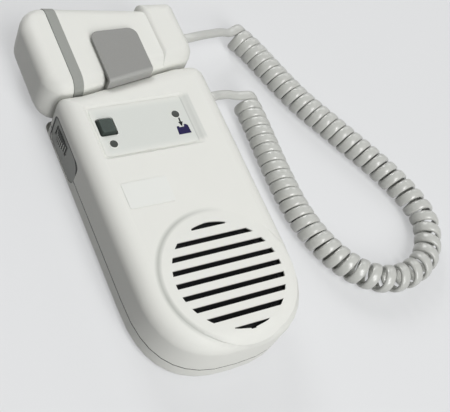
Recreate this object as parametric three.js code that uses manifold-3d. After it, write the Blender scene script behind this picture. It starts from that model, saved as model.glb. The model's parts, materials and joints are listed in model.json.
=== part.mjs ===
// Handheld vascular doppler: a loudspeaker unit with its battery and controls, and a
// pencil-case shaped probe that rests across the top of the unit and hangs on a curly cord.
// Millimetres. The unit lies on its back: +Z points out of the front face, +Y towards the
// probe, and the middle of the loudspeaker grille is at x = 0, y = 0 before the last line
// moves the origin to the middle of the resting face.
import * as THREE from "three";
import { mergeVertices } from "three/addons/utils/BufferGeometryUtils.js";
import Module from "manifold-3d";

const wasm = await Module();
wasm.setup();

// Driving dimensions

const clearance = 0.3;
const film = 0.1;
const overrun = 2;
const bite = 0.4;

const casing = {
  halfWidth: 37.4, centreX: -3, thickness: 32, seamZ: 10.6, wall: 2.2,
  endY: 8.8, endRoom: 0.5, endSquareness: 2.65, endSteps: 18,
  leftTopY: 100.8, rightTopY: 108.2, slopeLeftX: -29, slopeRightX: 19,
  leftCorner: 2.6, rightCorner: 7, leastCorner: 0.6, cornerSteps: 4,
  frontFillet: 7.6, backFillet: 4.6, filletSteps: 5, innerFilletSteps: 3,
};
const lip = { height: 1, thickness: 1, root: 4 };
const grille = {
  slotRadius: 25, discRadius: 31, discRise: 0.6, discSlope: 0.9, discSides: 48,
  slotPitch: 5.88, slotWidth: 2.45, slotDrop: 0.25, slotCount: 9, slotSteps: 3,
  endSlotShift: 0.6, endSlotReach: 8.3, endSlotSteps: 6,
};
const panel = {
  left: -30.6, right: 14.6, bottom: 65.4, top: 90.6, depth: 1.2, cornerRadius: 1.6,
  slopeRight: 3.2, slopeOther: 1.6, slopeSteps: 4, overlayThickness: 0.25,
};
const button = {
  inset: 5.5, belowTop: 10.2, width: 7.6, height: 8.2, rise: 1.9, draft: 0.8, gap: 0.45,
  flange: 1, flangeDepth: 1.2, travel: 0.5, corner: 0.9,
};
const led = { radius: 1.9, rise: 0.35, collarRadius: 2.6, collarDepth: 1.4 };
const signalLamp = { inset: 5.6, belowTop: 9.4 };
const powerLamp = { belowButton: 9.1 };
const plate = { left: -30.2, right: -8.9, bottom: 38.4, top: 51, thickness: 0.2, corner: 0.8 };
const wheel = { radius: 10.6, proud: 1.5, thickness: 5.6, middleZ: 14.8, aboveBezel: 4.4, ribs: 52, ribDepth: 0.6, bevel: 0.6 };
const bezel = {
  belowCorner: 18.2, length: 28.2, lowZ: 5, topZ: 21.2, lowCorner: 6, highCorner: 2.4, cornerSteps: 4,
  setBack: 0.2, slotMargin: 0.4, flange: 1, flangeDepth: 0.8, flangeShort: 6, slotSides: 48,
};
const pot = { side: 10.8, depth: 2, shaftRadius: 3, shaftReach: 1 };
const board = {
  left: -27, right: 21.4, bottom: 32, top: 95.6, thickness: 1.6, depthFromFace: 8.2,
  potRoom: 5.2, belowPot: 16.6,
};
const boardPosts = [[-23.6, 36], [17.6, 36], [17.6, 76], [-8, 91.2]];
const chip = { x: 4, y: 54, width: 9, length: 19, height: 3.2 };
const capacitor = { x: -12, y: 60, radius: 3.2, height: 5 };
const tact = { side: 6.2, plungerRadius: 1.7, plungerRise: 0.9 };
const speaker = {
  flangeRadius: 26, flangeDepth: 1.2, gasketWidth: 3, gasketDepth: 0.6, coneRadius: 22, coneDepth: 5,
  capRadius: 6, basketRadius: 15, basketDepth: 7.2, magnetRadius: 12, magnetDepth: 6, sheet: 1,
};
const speakerScrewRing = 28.9;
const speakerScrewAngles = [25, 115, 220];
const battery = { length: 46.5, width: 26.5, depth: 17.5, x: -7.2, y: 46.95, terminalHeight: 2, stud: 3.2, studOffset: 6.4 };
const snap = { depth: 2.2, width: 24, height: 12 };
const bay = { endRoom: 0.9, sideRoom: 0.9, wall: 1.2 };
const pad = { length: 30, width: 16 };
const door = { railWidth: 0.8, railZ: 1.1, topZ: 2, lowZ: 0.3, grooves: 4, groovePitch: 2.4, grooveWidth: 1, grooveDepth: 0.5 };
const screw = { shankRadius: 1.35, headRadius: 2.5, headHeight: 1.5, washerRadius: 3.8, sides: 8, holeSides: 8, bossSides: 10 };
const boss = { radius: 3.2, slimRadius: 2.6 };
const casePosts = [[-32.6, 17], [27.4, 22.4], [-32.6, 64.2], [26.6, 93]];
const caseScrewSeatZ = 5;
const caseScrewLength = 15;
const clip = {
  left: -16.7, right: 6.3, topY: 128.9, plateDepth: 2.2, rootThickness: 2, rootBottomZ: 14.5, bendRadius: 1.4,
  cornerRadius: 4.2, bendSteps: 5, padDepth: 2.4, padMargin: 2, screwZ: 18.4, screwInset: 6,
};
const cradle = {
  thickness: 3.2, shoulderY: 105.4, shoulderRadius: 4, tabLeft: -24, tabRight: 16, tabTop: 137, tabRadius: 6, steps: 4,
};
const probe = {
  leftX: -44.6, rightX: 32.6, centreY: 125.5, backZ: 3.5, frontZ: 33, seamZ: 12, wall: 2.2,
  halfAtLeft: 25.7, halfAtWaistEnd: 17.1, waistEndX: 14, capCornerRadius: 11, cornerSteps: 6,
  frontFillet: 6, backFillet: 9.4, filletSteps: 5,
};
const block = {
  leftX: 14.6, centreY: 127, halfLeft: 18.2, halfRight: 17.2, rise: 1.1, stepShare: 0.5,
  lowCorner: 8, highCorner: 4, backFillet: 6.8, leftCorner: 0.8, cornerSteps: 4,
};
const band = { left: -32.1, right: -27.4, rise: 0.4, depth: 2, collarBite: 2 };
const spigot = { length: 8, wall: 1.8 };
const crystal = { radius: 5, thickness: 1.2, spacing: 12 };
const backing = { depth: 7, facets: 1 };
const probeBoard = { left: -18.2, right: 9, width: 23, thickness: 1.6, z: 15.4, postRadius: 2.6, postInset: 3.4 };
const probePosts = [[-21.6, 0], [24.5, 0]];
const gland = {
  neckWidth: 6.2, neckHeight: 3.8, flangeWidth: 7.8, flangeHeight: 5.4, flangeDepth: 0.6, corner: 1.6,
};
const housingGland = { y: 96.7, z: 16.5 };
const probeGland = { y: 128.6, z: 22 };
const cord = {
  width: 5, thickness: 2.5, coilRadius: 6.8, turns: 54, stepsPerTurn: 8, sides: 5,
  bendOpening: 0.42, bendMiddleShare: 0.5, bendSpreadShare: 0.17, tailSides: 8, tailSteps: 10, lead: 5.5,
};
// Centre line of the coiled stretch, as seen from above.
const coilRoute = [
  [75.2, 137.6], [79.9, 128.4], [88.7, 104], [94.1, 91], [106.9, 67.8], [120.5, 42.8], [127.4, 25], [129, 12.6],
  [124.4, 0.4], [116.2, -8.7], [103.6, -13.3], [90.7, -12.6], [79.1, -6.1], [70.6, 4.4], [65, 17.3], [61.9, 33],
  [61.4, 49.7], [62, 66.7], [62.6, 79], [62.9, 90.4], [62.6, 96.8],
];
// Between the gland of the probe and the first turn: x, y and height over the resting face.
const probeTailRoute = [[47.5, 130.7, 20.1], [55.3, 132.9, 17.5], [63, 134.9, 15]];
// Between the last turn and the gland of the unit.
const housingTailRoute = [[51, 98.2, 13.8], [44.5, 97.7, 15.2]];

// Finishes

const finish = (color, roughness, metalness = 0) => new THREE.MeshStandardMaterial({ color, roughness, metalness });
const whiteShell = () => finish(0xdcddd6, 0.45);
const greyPlastic = () => finish(0x8e8e8a, 0.55);
const greyRubber = () => finish(0xa3a5a0, 0.7);
const darkGreen = () => finish(0x4f5955, 0.5);
const cordPlastic = () => finish(0xc6c7c1, 0.35);
const steel = () => finish(0xb9bcc0, 0.35, 0.9);
const boardGreen = () => finish(0x1f5a3a, 0.6);
const blackPlastic = () => finish(0x1b1c1e, 0.6);

// Solids

const toSolid = (geometry) => {
  const bare = geometry.clone();
  bare.deleteAttribute("normal");
  bare.deleteAttribute("uv");
  const merged = mergeVertices(bare, 1e-4);
  return new wasm.Manifold(new wasm.Mesh({
    numProp: 3,
    vertProperties: new Float32Array(merged.attributes.position.array),
    triVerts: new Uint32Array(merged.index.array),
  }));
};

const toGeometry = (solid) => {
  const mesh = solid.getMesh();
  const geometry = new THREE.BufferGeometry();
  geometry.setAttribute("position", new THREE.BufferAttribute(new Float32Array(mesh.vertProperties), 3));
  geometry.setIndex(new THREE.BufferAttribute(new Uint32Array(mesh.triVerts), 1));
  return geometry;
};

const named = (name, shape, material) => {
  const geometry = shape.isBufferGeometry ? shape : toGeometry(shape);
  const mesh = new THREE.Mesh(geometry, material);
  mesh.name = name;
  return mesh;
};

const joined = (solids) => solids.reduce((whole, solid) => whole.add(solid));

const boxBetween = (low, high) => {
  const geometry = new THREE.BoxGeometry(high[0] - low[0], high[1] - low[1], high[2] - low[2]);
  geometry.translate((low[0] + high[0]) / 2, (low[1] + high[1]) / 2, (low[2] + high[2]) / 2);
  return toSolid(geometry);
};

const rod = (radius, low, high, x = 0, y = 0, sides = 20) => {
  const geometry = new THREE.CylinderGeometry(radius, radius, high - low, sides);
  geometry.rotateX(Math.PI / 2);
  geometry.translate(x, y, (low + high) / 2);
  return toSolid(geometry);
};

// A closed body through rings of equal point counts, each a list of [x, y, z].
const throughRings = (rings) => {
  const count = rings[0].length;
  const positions = rings.flat(2);
  const faces = [];
  for (let ring = 0; ring + 1 < rings.length; ring++) {
    for (let i = 0; i < count; i++) {
      const a = ring * count + i;
      const b = ring * count + (i + 1) % count;
      faces.push(a, b, b + count, a, b + count, a + count);
    }
  }
  const last = (rings.length - 1) * count;
  const flat = rings[0].map(([x, y]) => new THREE.Vector2(x, y));
  const top = rings[rings.length - 1].map(([x, y]) => new THREE.Vector2(x, y));
  for (const [a, b, c] of THREE.ShapeUtils.triangulateShape(flat, [])) faces.push(c, b, a);
  for (const [a, b, c] of THREE.ShapeUtils.triangulateShape(top, [])) faces.push(last + a, last + b, last + c);
  const geometry = new THREE.BufferGeometry();
  geometry.setAttribute("position", new THREE.Float32BufferAttribute(positions, 3));
  geometry.setIndex(faces);
  return geometry;
};

// A body that follows an outline upwards, drawn in by the inset of each level.
const loft = (outline, levels) => toSolid(throughRings(
  levels.map(({ inset, z }) => outline(inset).map((point) => [point.x, point.y, z]))));

const straight = (inset, low, high) => [{ inset, z: low }, { inset, z: high }];

const roundedLevels = (low, high, lowRadius, highRadius, steps, inset = 0) => {
  const levels = [];
  for (let i = 0; i <= (lowRadius > 0 ? steps : 0); i++) {
    const angle = lowRadius > 0 ? (i / steps) * Math.PI / 2 : 0;
    levels.push({ inset: inset + lowRadius * (1 - Math.sin(angle)), z: low + lowRadius * (1 - Math.cos(angle)) });
  }
  for (let i = 0; i <= (highRadius > 0 ? steps : 0); i++) {
    const angle = highRadius > 0 ? (i / steps) * Math.PI / 2 : 0;
    levels.push({ inset: inset + highRadius * (1 - Math.cos(angle)), z: high - highRadius * (1 - Math.sin(angle)) });
  }
  return levels;
};

const arc = (centreX, centreY, radius, from, to, steps) => {
  const points = [];
  for (let i = 0; i <= steps; i++) {
    const angle = from + (to - from) * i / steps;
    points.push(new THREE.Vector2(centreX + radius * Math.cos(angle), centreY + radius * Math.sin(angle)));
  }
  return points;
};

const quarter = Math.PI / 2;

const roundedRectangle = (left, right, bottom, top, radius, steps = 3, leftRadius = radius) => [
  ...arc(right - radius, top - radius, radius, 0, quarter, steps),
  ...arc(left + leftRadius, top - leftRadius, leftRadius, quarter, 2 * quarter, steps),
  ...arc(left + leftRadius, bottom + leftRadius, leftRadius, 2 * quarter, 3 * quarter, steps),
  ...arc(right - radius, bottom + radius, radius, 3 * quarter, 4 * quarter, steps),
];

const prism = (points, low, high) => {
  const geometry = new THREE.ExtrudeGeometry(new THREE.Shape(points), { depth: high - low, bevelEnabled: false });
  geometry.translate(0, 0, low);
  return toSolid(geometry);
};

// Turns a body made along Z so that it runs along X from the given x.
const alongX = (solid) => solid.rotate([0, 90, 0]);

// Head below its seat at z = 0, shank above it.
const screwGeometry = (length, headRadius = screw.headRadius) => new THREE.LatheGeometry([
  new THREE.Vector2(0, -screw.headHeight),
  new THREE.Vector2(headRadius, -screw.headHeight),
  new THREE.Vector2(headRadius, 0),
  new THREE.Vector2(screw.shankRadius, 0),
  new THREE.Vector2(screw.shankRadius, length),
  new THREE.Vector2(0, length),
], screw.sides).rotateX(Math.PI / 2);

// One mesh for each screw of a set, at [x, y] places with their heads seated at a height.
const screwSet = (name, places, seatZ, length, headRadius) => places.map(([x, y], index) => {
  const label = places.length > 1 ? `${name}_${index + 1}` : name;
  const mesh = named(label, screwGeometry(length, headRadius), steel());
  mesh.position.set(x, y, seatZ);
  return mesh;
});

const screwHole = screw.shankRadius + clearance;

// The outline of the unit

const endLength = casing.endY + grille.discRadius + casing.endRoom;
const wallLeftX = casing.centreX - casing.halfWidth;
const wallRightX = casing.centreX + casing.halfWidth;
const slope = Math.atan2(casing.rightTopY - casing.leftTopY, casing.slopeRightX - casing.slopeLeftX);
const topYAt = (x) => casing.leftTopY
  + Math.tan(slope) * (Math.min(Math.max(x, casing.slopeLeftX), casing.slopeRightX) - casing.slopeLeftX);

const caseOutline = (inset) => {
  const reachX = casing.halfWidth - inset;
  const reachY = endLength - inset;
  const power = 2 / casing.endSquareness;
  const rightRadius = Math.max(casing.rightCorner - inset, casing.leastCorner);
  const leftRadius = Math.max(casing.leftCorner - inset, casing.leastCorner);
  const left = casing.centreX - reachX;
  const right = casing.centreX + reachX;
  const leftTop = casing.leftTopY - inset;
  const rightTop = casing.rightTopY - inset;
  const end = [];
  for (let i = 0; i <= casing.endSteps; i++) {
    const angle = Math.PI * (1 - i / casing.endSteps);
    const across = Math.cos(angle);
    end.push(new THREE.Vector2(
      casing.centreX + reachX * Math.sign(across) * Math.abs(across) ** power,
      casing.endY - reachY * Math.abs(Math.sin(angle)) ** power));
  }
  return [
    ...end,
    ...arc(right - rightRadius, rightTop - rightRadius, rightRadius, 0, quarter, casing.cornerSteps),
    new THREE.Vector2(casing.slopeRightX, rightTop),
    new THREE.Vector2(casing.slopeLeftX, leftTop),
    ...arc(left + leftRadius, leftTop - leftRadius, leftRadius, quarter, 2 * quarter, casing.cornerSteps),
  ];
};

// Heights that several pieces share

const faceZ = casing.thickness;
const innerFaceZ = faceZ - casing.wall;
const panelFloorZ = faceZ - panel.depth;
const frontLowZ = casing.seamZ + clearance / 2;
const backHighZ = casing.seamZ - clearance / 2;
const boardTopZ = faceZ - board.depthFromFace;
const boardLowZ = boardTopZ - board.thickness;
const buttonX = panel.left + button.inset;
const buttonY = panel.top - button.belowTop;
const leds = {
  power: [buttonX, buttonY - powerLamp.belowButton],
  signal: [panel.right - signalLamp.inset, panel.top - signalLamp.belowTop],
};
const bezelY = casing.leftTopY - bezel.belowCorner;
const wheelX = wallLeftX - wheel.proud + wheel.radius;
const wheelY = bezelY + wheel.aboveBezel;
const wheelLowZ = wheel.middleZ - wheel.thickness / 2;
const wheelHighZ = wheel.middleZ + wheel.thickness / 2;
const bezelOuterX = wallLeftX + bezel.setBack;
const clipRootDepth = clip.rootThickness + clearance;
const clipPlateLowZ = probe.frontZ + clearance;
const clipPlateHighZ = clipPlateLowZ + clip.plateDepth;
const speakerTopZ = innerFaceZ - 2 * clearance - speaker.gasketDepth;
const speakerFlangeLowZ = speakerTopZ - speaker.flangeDepth;

// The slanted frame of the wall that the probe clip is fixed to: u along it, v out of it.
const slanted = (solid) => solid
  .rotate([0, 0, THREE.MathUtils.radToDeg(slope)])
  .translate([casing.slopeLeftX, casing.leftTopY, 0]);
const alongSlope = (x) => (x - casing.slopeLeftX) / Math.cos(slope);

const clipMiddleU = (alongSlope(clip.left) + alongSlope(clip.right)) / 2;
const clipHalfU = (alongSlope(clip.right) - alongSlope(clip.left)) / 2;
const clipScrewPlaces = [clipMiddleU - clipHalfU + clip.screwInset, clipMiddleU + clipHalfU - clip.screwInset];

// Pieces of the unit

function frontShell() {
  const outer = loft(caseOutline, roundedLevels(frontLowZ, faceZ, 0, casing.frontFillet, casing.filletSteps));
  const inner = loft(caseOutline, roundedLevels(frontLowZ - overrun, innerFaceZ, 0,
    casing.frontFillet - casing.wall, casing.innerFilletSteps, casing.wall));
  const raised = loft(caseOutline, roundedLevels(faceZ - casing.frontFillet, faceZ + grille.discRise, 0,
    casing.frontFillet, casing.filletSteps, -grille.discRise))
    .intersect(discEdge());
  const boardPostLowZ = boardTopZ + clearance;
  const pillars = joined([
    ...casePosts.map(([x, y]) => rod(boss.radius, frontLowZ, innerFaceZ + bite, x, y, screw.bossSides)),
    ...boardPosts.map(([x, y]) => rod(boss.slimRadius, boardPostLowZ, innerFaceZ + bite, x, y, screw.bossSides)),
    ...speakerScrewPlaces().map(([x, y]) => rod(boss.slimRadius, speakerFlangeLowZ, innerFaceZ + bite, x, y, screw.bossSides)),
  ]).intersect(outer);
  const clipPad = slanted(boxBetween(
    [clipMiddleU - clipHalfU - clip.padMargin, -clipRootDepth - clip.padDepth, casing.seamZ + lip.height + clearance],
    [clipMiddleU + clipHalfU + clip.padMargin, -casing.wall / 2, innerFaceZ],
  )).intersect(outer);
  let shell = outer.add(raised).subtract(inner).add(pillars).add(clipPad);
  const holes = [
    ...casePosts.map(([x, y]) => rod(screwHole, frontLowZ - overrun, caseScrewSeatZ + caseScrewLength + clearance, x, y, screw.holeSides)),
    ...boardPosts.map(([x, y]) => rod(screwHole, boardPostLowZ - overrun, innerFaceZ - bite, x, y, screw.holeSides)),
    ...speakerScrewPlaces().map(([x, y]) => rod(screwHole, speakerFlangeLowZ - overrun, innerFaceZ - bite, x, y, screw.holeSides)),
    ...grilleSlots(),
    rod(speaker.flangeRadius + 2 * clearance, speakerFlangeLowZ - overrun, innerFaceZ, 0, 0, 32),
    panelPocket(),
    prism(roundedRectangle(...buttonEdges(button.gap), button.corner), innerFaceZ - overrun, faceZ),
    ...Object.values(leds).map(([x, y]) => rod(led.radius + clearance, innerFaceZ - overrun, faceZ, x, y, 16)),
    clipNotch(),
    ...clipScrewPlaces.map((u) => slanted(rod(screwHole, -overrun, clip.padDepth + clipRootDepth + overrun, 0, 0, screw.holeSides)
      .rotate([90, 0, 0]).translate([u, 0, clip.screwZ]))),
    wheelNotch(),
    alongX(glandSection(clearance, 2 * casing.wall)).translate([wallRightX - casing.wall * 1.5, housingGland.y, housingGland.z]),
  ];
  for (const hole of holes) shell = shell.subtract(hole);
  return shell;
}

// The raised disc around the slots has a sloping edge where it stands on the face.
function discEdge() {
  const { discRadius, discRise, discSlope, discSides } = grille;
  const ring = (radius, z) => arc(0, 0, radius, 0, 4 * quarter * (1 - 1 / discSides), discSides - 1)
    .map((point) => [point.x, point.y, z]);
  const topZ = faceZ + discRise;
  return toSolid(throughRings([
    ring(discRadius, faceZ - casing.frontFillet), ring(discRadius, faceZ),
    ring(discRadius - discSlope, topZ), ring(discRadius - discSlope, topZ + overrun),
  ]));
}

function speakerScrewPlaces() {
  return speakerScrewAngles.map((degrees) => {
    const angle = THREE.MathUtils.degToRad(degrees);
    return [speakerScrewRing * Math.cos(angle), speakerScrewRing * Math.sin(angle)];
  });
}

function grilleSlots() {
  const slots = [];
  const half = grille.slotWidth / 2;
  for (let i = 0; i < grille.slotCount; i++) {
    const place = i - (grille.slotCount - 1) / 2;
    const isEnd = i === 0 || i === grille.slotCount - 1;
    const y = place * grille.slotPitch - grille.slotDrop + (isEnd ? Math.sign(place) * grille.endSlotShift : 0);
    const steps = isEnd ? grille.endSlotSteps : grille.slotSteps;
    const points = [];
    for (const side of [1, -1]) {
      for (let k = 0; k <= steps; k++) {
        const edgeY = y + side * half * (2 * k / steps - 1);
        const circle = Math.sqrt(Math.max(grille.slotRadius ** 2 - edgeY ** 2, 0));
        const reach = isEnd ? Math.min(circle, grille.endSlotReach) : circle;
        points.push(new THREE.Vector2(side * Math.max(reach, half), edgeY));
      }
    }
    slots.push(prism(points, innerFaceZ - overrun, faceZ + overrun));
  }
  return slots;
}

function panelPocket() {
  const at = (grow) => roundedRectangle(
    panel.left - grow * panel.slopeOther, panel.right + grow * panel.slopeRight,
    panel.bottom - grow * panel.slopeOther, panel.top + grow * panel.slopeOther, panel.cornerRadius);
  const levels = [];
  for (let i = 0; i <= panel.slopeSteps; i++) {
    const share = i / panel.slopeSteps;
    levels.push([share, panelFloorZ + share ** 2 * panel.depth]);
  }
  const [[before, beforeZ], [last, lastZ]] = levels.slice(-2);
  const beyond = overrun / (lastZ - beforeZ);
  levels.push([last + beyond * (last - before), lastZ + overrun]);
  return toSolid(throughRings(levels.map(([grow, z]) => at(grow).map((point) => [point.x, point.y, z]))));
}

function buttonEdges(grow) {
  return [
    buttonX - button.width / 2 - grow, buttonX + button.width / 2 + grow,
    buttonY - button.height / 2 - grow, buttonY + button.height / 2 + grow,
  ];
}

function clipNotch() {
  const half = clipHalfU + clearance + clipRootDepth * Math.tan(slope);
  return slanted(boxBetween(
    [clipMiddleU - half, -clipRootDepth, clip.rootBottomZ - clearance],
    [clipMiddleU + half, overrun, faceZ + overrun],
  ));
}

const bezelEnds = () => ({ low: bezelY - bezel.length / 2, high: bezelY + bezel.length / 2 });

function bezelSection(grow, depth, highEnd = bezelEnds().high) {
  const { low } = bezelEnds();
  return alongX(prism(roundedRectangle(-bezel.topZ - grow, -bezel.lowZ + grow, low - grow, highEnd + grow,
    bezel.lowCorner + grow, bezel.cornerSteps, bezel.highCorner + grow), 0, depth));
}

function wheelNotch() {
  return bezelSection(clearance, casing.wall + 2 * overrun).translate([wallLeftX - overrun, 0, 0]);
}

// A plate in the wall, with a flange behind the wall on the side away from the corner.
function wheelBezel() {
  const flangeX = wallLeftX + casing.wall + clearance;
  const plate = bezelSection(0, flangeX + bite - bezelOuterX).translate([bezelOuterX, 0, 0]);
  const flange = bezelSection(bezel.flange, bezel.flangeDepth, bezelEnds().high - bezel.flangeShort)
    .translate([flangeX, 0, 0])
    .intersect(boxBetween([wallLeftX, 0, casing.backFillet], [wallRightX, casing.rightTopY, faceZ]));
  const slot = rod(wheel.radius + bezel.slotMargin, wheelLowZ - bezel.slotMargin, wheelHighZ + bezel.slotMargin,
    wheelX, wheelY, bezel.slotSides);
  return plate.add(flange).subtract(slot);
}

function wheelSolid() {
  const ring = (shrink) => {
    const points = [];
    for (let i = 0; i < 2 * wheel.ribs; i++) {
      const angle = (i / wheel.ribs) * Math.PI;
      const radius = wheel.radius - shrink - (i % 2) * wheel.ribDepth;
      points.push([radius * Math.cos(angle), radius * Math.sin(angle)]);
    }
    return points;
  };
  const half = wheel.thickness / 2;
  const levels = [[wheel.bevel, -half], [0, wheel.bevel - half], [0, half - wheel.bevel], [wheel.bevel, half]];
  const body = toSolid(throughRings(levels.map(([shrink, z]) => ring(shrink).map(([x, y]) => [x, y, z]))));
  return body.subtract(rod(pot.shaftRadius + clearance, -wheel.thickness, wheel.thickness, 0, 0, 16));
}

const potHighZ = boardLowZ - clearance;
const potLowZ = potHighZ - pot.depth;
const shaftLowZ = wheelLowZ - pot.shaftReach;

function volumePot() {
  const half = pot.side / 2;
  return boxBetween([wheelX - half, wheelY - half, potLowZ], [wheelX + half, wheelY + half, potHighZ])
    .subtract(rod(pot.shaftRadius + clearance, potLowZ - overrun, potLowZ + pot.depth / 2, wheelX, wheelY, 16));
}

function volumeShaft() {
  return rod(pot.shaftRadius, shaftLowZ, potLowZ + pot.depth / 2 - clearance, wheelX, wheelY, 16)
    .subtract(rod(screwHole, shaftLowZ - overrun, wheelHighZ, wheelX, wheelY, screw.holeSides));
}

function backShell() {
  const { lowX, highX, lowY, highY } = bayEdges();
  const outer = loft(caseOutline, roundedLevels(0, backHighZ, casing.backFillet, 0, casing.filletSteps));
  const inner = loft(caseOutline, roundedLevels(casing.wall, backHighZ + overrun,
    casing.backFillet - casing.wall, 0, casing.innerFilletSteps, casing.wall));
  const rimRoot = loft(caseOutline, straight(casing.wall - bite, backHighZ - lip.root, backHighZ));
  const rim = loft(caseOutline, straight(casing.wall + clearance, backHighZ - lip.root, casing.seamZ + lip.height));
  const rimBore = loft(caseOutline, straight(casing.wall + clearance + lip.thickness, 0, faceZ));
  const rimGap = boxBetween(
    [wallLeftX + casing.wall, bezelEnds().low - bezel.flange - clearance, backHighZ - lip.root - overrun],
    [wallLeftX + casing.wall + lip.root, bezelEnds().high + clearance, faceZ]);
  const posts = joined(casePosts.map(([x, y]) => rod(boss.radius, casing.wall / 2, backHighZ, x, y, screw.bossSides)));
  const bayWalls = boxBetween(
    [lowX - bay.wall, lowY - bay.wall, casing.wall / 2], [highX + bay.wall, highY + bay.wall, backHighZ])
    .subtract(boxBetween([lowX, lowY, 0], [highX, highY, faceZ]));
  let shell = outer.subtract(inner)
    .add(rimRoot.add(rim).subtract(rimBore).subtract(rimGap))
    .add(posts.add(bayWalls).intersect(outer))
    .add(cradlePlate())
    .subtract(wheelNotch());
  for (const opening of doorOpening(clearance)) shell = shell.subtract(opening);
  for (const [x, y] of casePosts) {
    shell = shell.subtract(rod(screw.headRadius + clearance, -overrun, caseScrewSeatZ, x, y, screw.bossSides));
    shell = shell.subtract(rod(screwHole, 0, casing.seamZ + overrun, x, y, screw.holeSides));
  }
  return shell;
}

function cradlePlate() {
  const { tabLeft, tabRight, tabTop, tabRadius, shoulderY, shoulderRadius } = cradle;
  const low = casing.leftTopY - casing.leftCorner - shoulderRadius - casing.wall;
  const corner = (radius, inset) => Math.max(radius - inset, casing.leastCorner);
  const shoulder = (inset) => roundedRectangle(wallLeftX + film + inset, tabRight - inset,
    low + inset, shoulderY - inset, corner(shoulderRadius, inset), cradle.steps);
  const tab = (inset) => roundedRectangle(tabLeft + inset, tabRight - inset,
    low + inset, tabTop - inset, corner(tabRadius, inset), cradle.steps);
  const levels = roundedLevels(0, casing.seamZ, casing.backFillet, 0, casing.filletSteps);
  const flat = boxBetween([wallLeftX, low, 0], [wallRightX, tabTop, cradle.thickness]);
  return loft(shoulder, levels).add(loft(tab, levels)).intersect(flat)
    .subtract(loft(caseOutline, straight(casing.wall, -overrun, faceZ)));
}

function bayEdges() {
  const halfLength = (battery.length + battery.terminalHeight + snap.depth) / 2 + clearance;
  return {
    lowX: battery.x - halfLength - bay.endRoom, highX: battery.x + halfLength + bay.endRoom,
    lowY: battery.y - battery.width / 2 - bay.sideRoom, highY: battery.y + battery.width / 2 + bay.sideRoom,
  };
}

// The way out of the battery bay: a window, and a wider step above it that the door slides in.
function doorOpening(grow) {
  const { highX, lowY, highY } = bayEdges();
  const left = wallLeftX - overrun;
  const right = highX - clearance + grow;
  return [
    boxBetween([left, lowY + clearance - grow, -overrun], [right, highY - clearance + grow, door.topZ + grow]),
    boxBetween([left, lowY - door.railWidth + clearance - grow, door.railZ - grow],
      [right, highY + door.railWidth - clearance + grow, door.topZ + grow]),
  ];
}

function batteryDoor() {
  const outer = loft(caseOutline, roundedLevels(0, casing.seamZ, casing.backFillet, 0, casing.filletSteps));
  const [window, rails] = doorOpening(0);
  let cover = window.add(rails).intersect(outer)
    .intersect(boxBetween([wallLeftX - overrun, 0, door.lowZ], [wallRightX, casing.rightTopY, door.topZ]));
  for (let i = 0; i < door.grooves; i++) {
    const x = wallLeftX + casing.backFillet + (i + 1) * door.groovePitch;
    cover = cover.subtract(boxBetween(
      [x, battery.y - battery.width / 4, 0], [x + door.grooveWidth, battery.y + battery.width / 4, door.lowZ + door.grooveDepth]));
  }
  return cover;
}

const batteryLowZ = door.topZ + clearance;
const batteryEdges = () => {
  const { lowX } = bayEdges();
  const left = lowX + bay.endRoom;
  return { left, right: left + battery.length, lowZ: batteryLowZ, highZ: batteryLowZ + battery.depth };
};

function batteryBlock() {
  const { left, right, lowZ, highZ } = batteryEdges();
  const half = battery.width / 2;
  const middleZ = (lowZ + highZ) / 2;
  const studs = [-1, 1].map((side) => alongX(rod(battery.stud, 0, battery.terminalHeight + bite, 0, 0, 12))
    .translate([right - bite, battery.y + side * battery.studOffset, middleZ]));
  const corner = battery.terminalHeight;
  return prism(roundedRectangle(left, right, battery.y - half, battery.y + half, corner, 2), lowZ, highZ)
    .add(joined(studs));
}

function batterySnap() {
  const { right, lowZ, highZ } = batteryEdges();
  const low = right + battery.terminalHeight + clearance;
  const middleZ = (lowZ + highZ) / 2;
  return boxBetween([low, battery.y - snap.width / 2, middleZ - snap.height / 2],
    [low + snap.depth, battery.y + snap.width / 2, middleZ + snap.height / 2]);
}

function batteryPad() {
  const { left, right, highZ } = batteryEdges();
  const middle = (left + right) / 2;
  return boxBetween([middle - pad.length / 2, battery.y - pad.width / 2, highZ + clearance],
    [middle + pad.length / 2, battery.y + pad.width / 2, boardLowZ - clearance]);
}

function mainBoard() {
  const outline = [
    [board.left, board.bottom], [board.right, board.bottom], [board.right, board.top],
    [wheelX - board.potRoom, board.top], [wheelX - board.potRoom, wheelY - board.belowPot],
    [board.left, wheelY - board.belowPot],
  ].map(([x, y]) => new THREE.Vector2(x, y));
  let card = prism(outline, boardLowZ, boardTopZ);
  for (const [x, y] of boardPosts) card = card.subtract(rod(screwHole, boardLowZ - overrun, boardTopZ + overrun, x, y, screw.holeSides));
  return card;
}

const partOnBoard = ({ x, y, width, length, height }) => boxBetween(
  [x - width / 2, y - length / 2, boardTopZ + clearance], [x + width / 2, y + length / 2, boardTopZ + clearance + height]);

function powerSwitch() {
  const low = boardTopZ + clearance;
  const flangeLowZ = innerFaceZ - clearance - button.flangeDepth;
  const plungerTop = flangeLowZ - clearance - button.travel;
  return boxBetween([buttonX - tact.side / 2, buttonY - tact.side / 2, low],
    [buttonX + tact.side / 2, buttonY + tact.side / 2, plungerTop - tact.plungerRise])
    .add(rod(tact.plungerRadius, low + bite, plungerTop, buttonX, buttonY, 12));
}

function powerButton() {
  const flangeHighZ = innerFaceZ - clearance;
  const outline = (inset) => roundedRectangle(...buttonEdges(-inset), button.corner);
  const levels = [
    { inset: 0, z: flangeHighZ - bite }, { inset: 0, z: panelFloorZ },
    { inset: button.draft, z: panelFloorZ + button.rise },
  ];
  return loft(outline, levels)
    .add(prism(roundedRectangle(...buttonEdges(button.flange), button.corner), flangeHighZ - button.flangeDepth, flangeHighZ));
}

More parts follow.
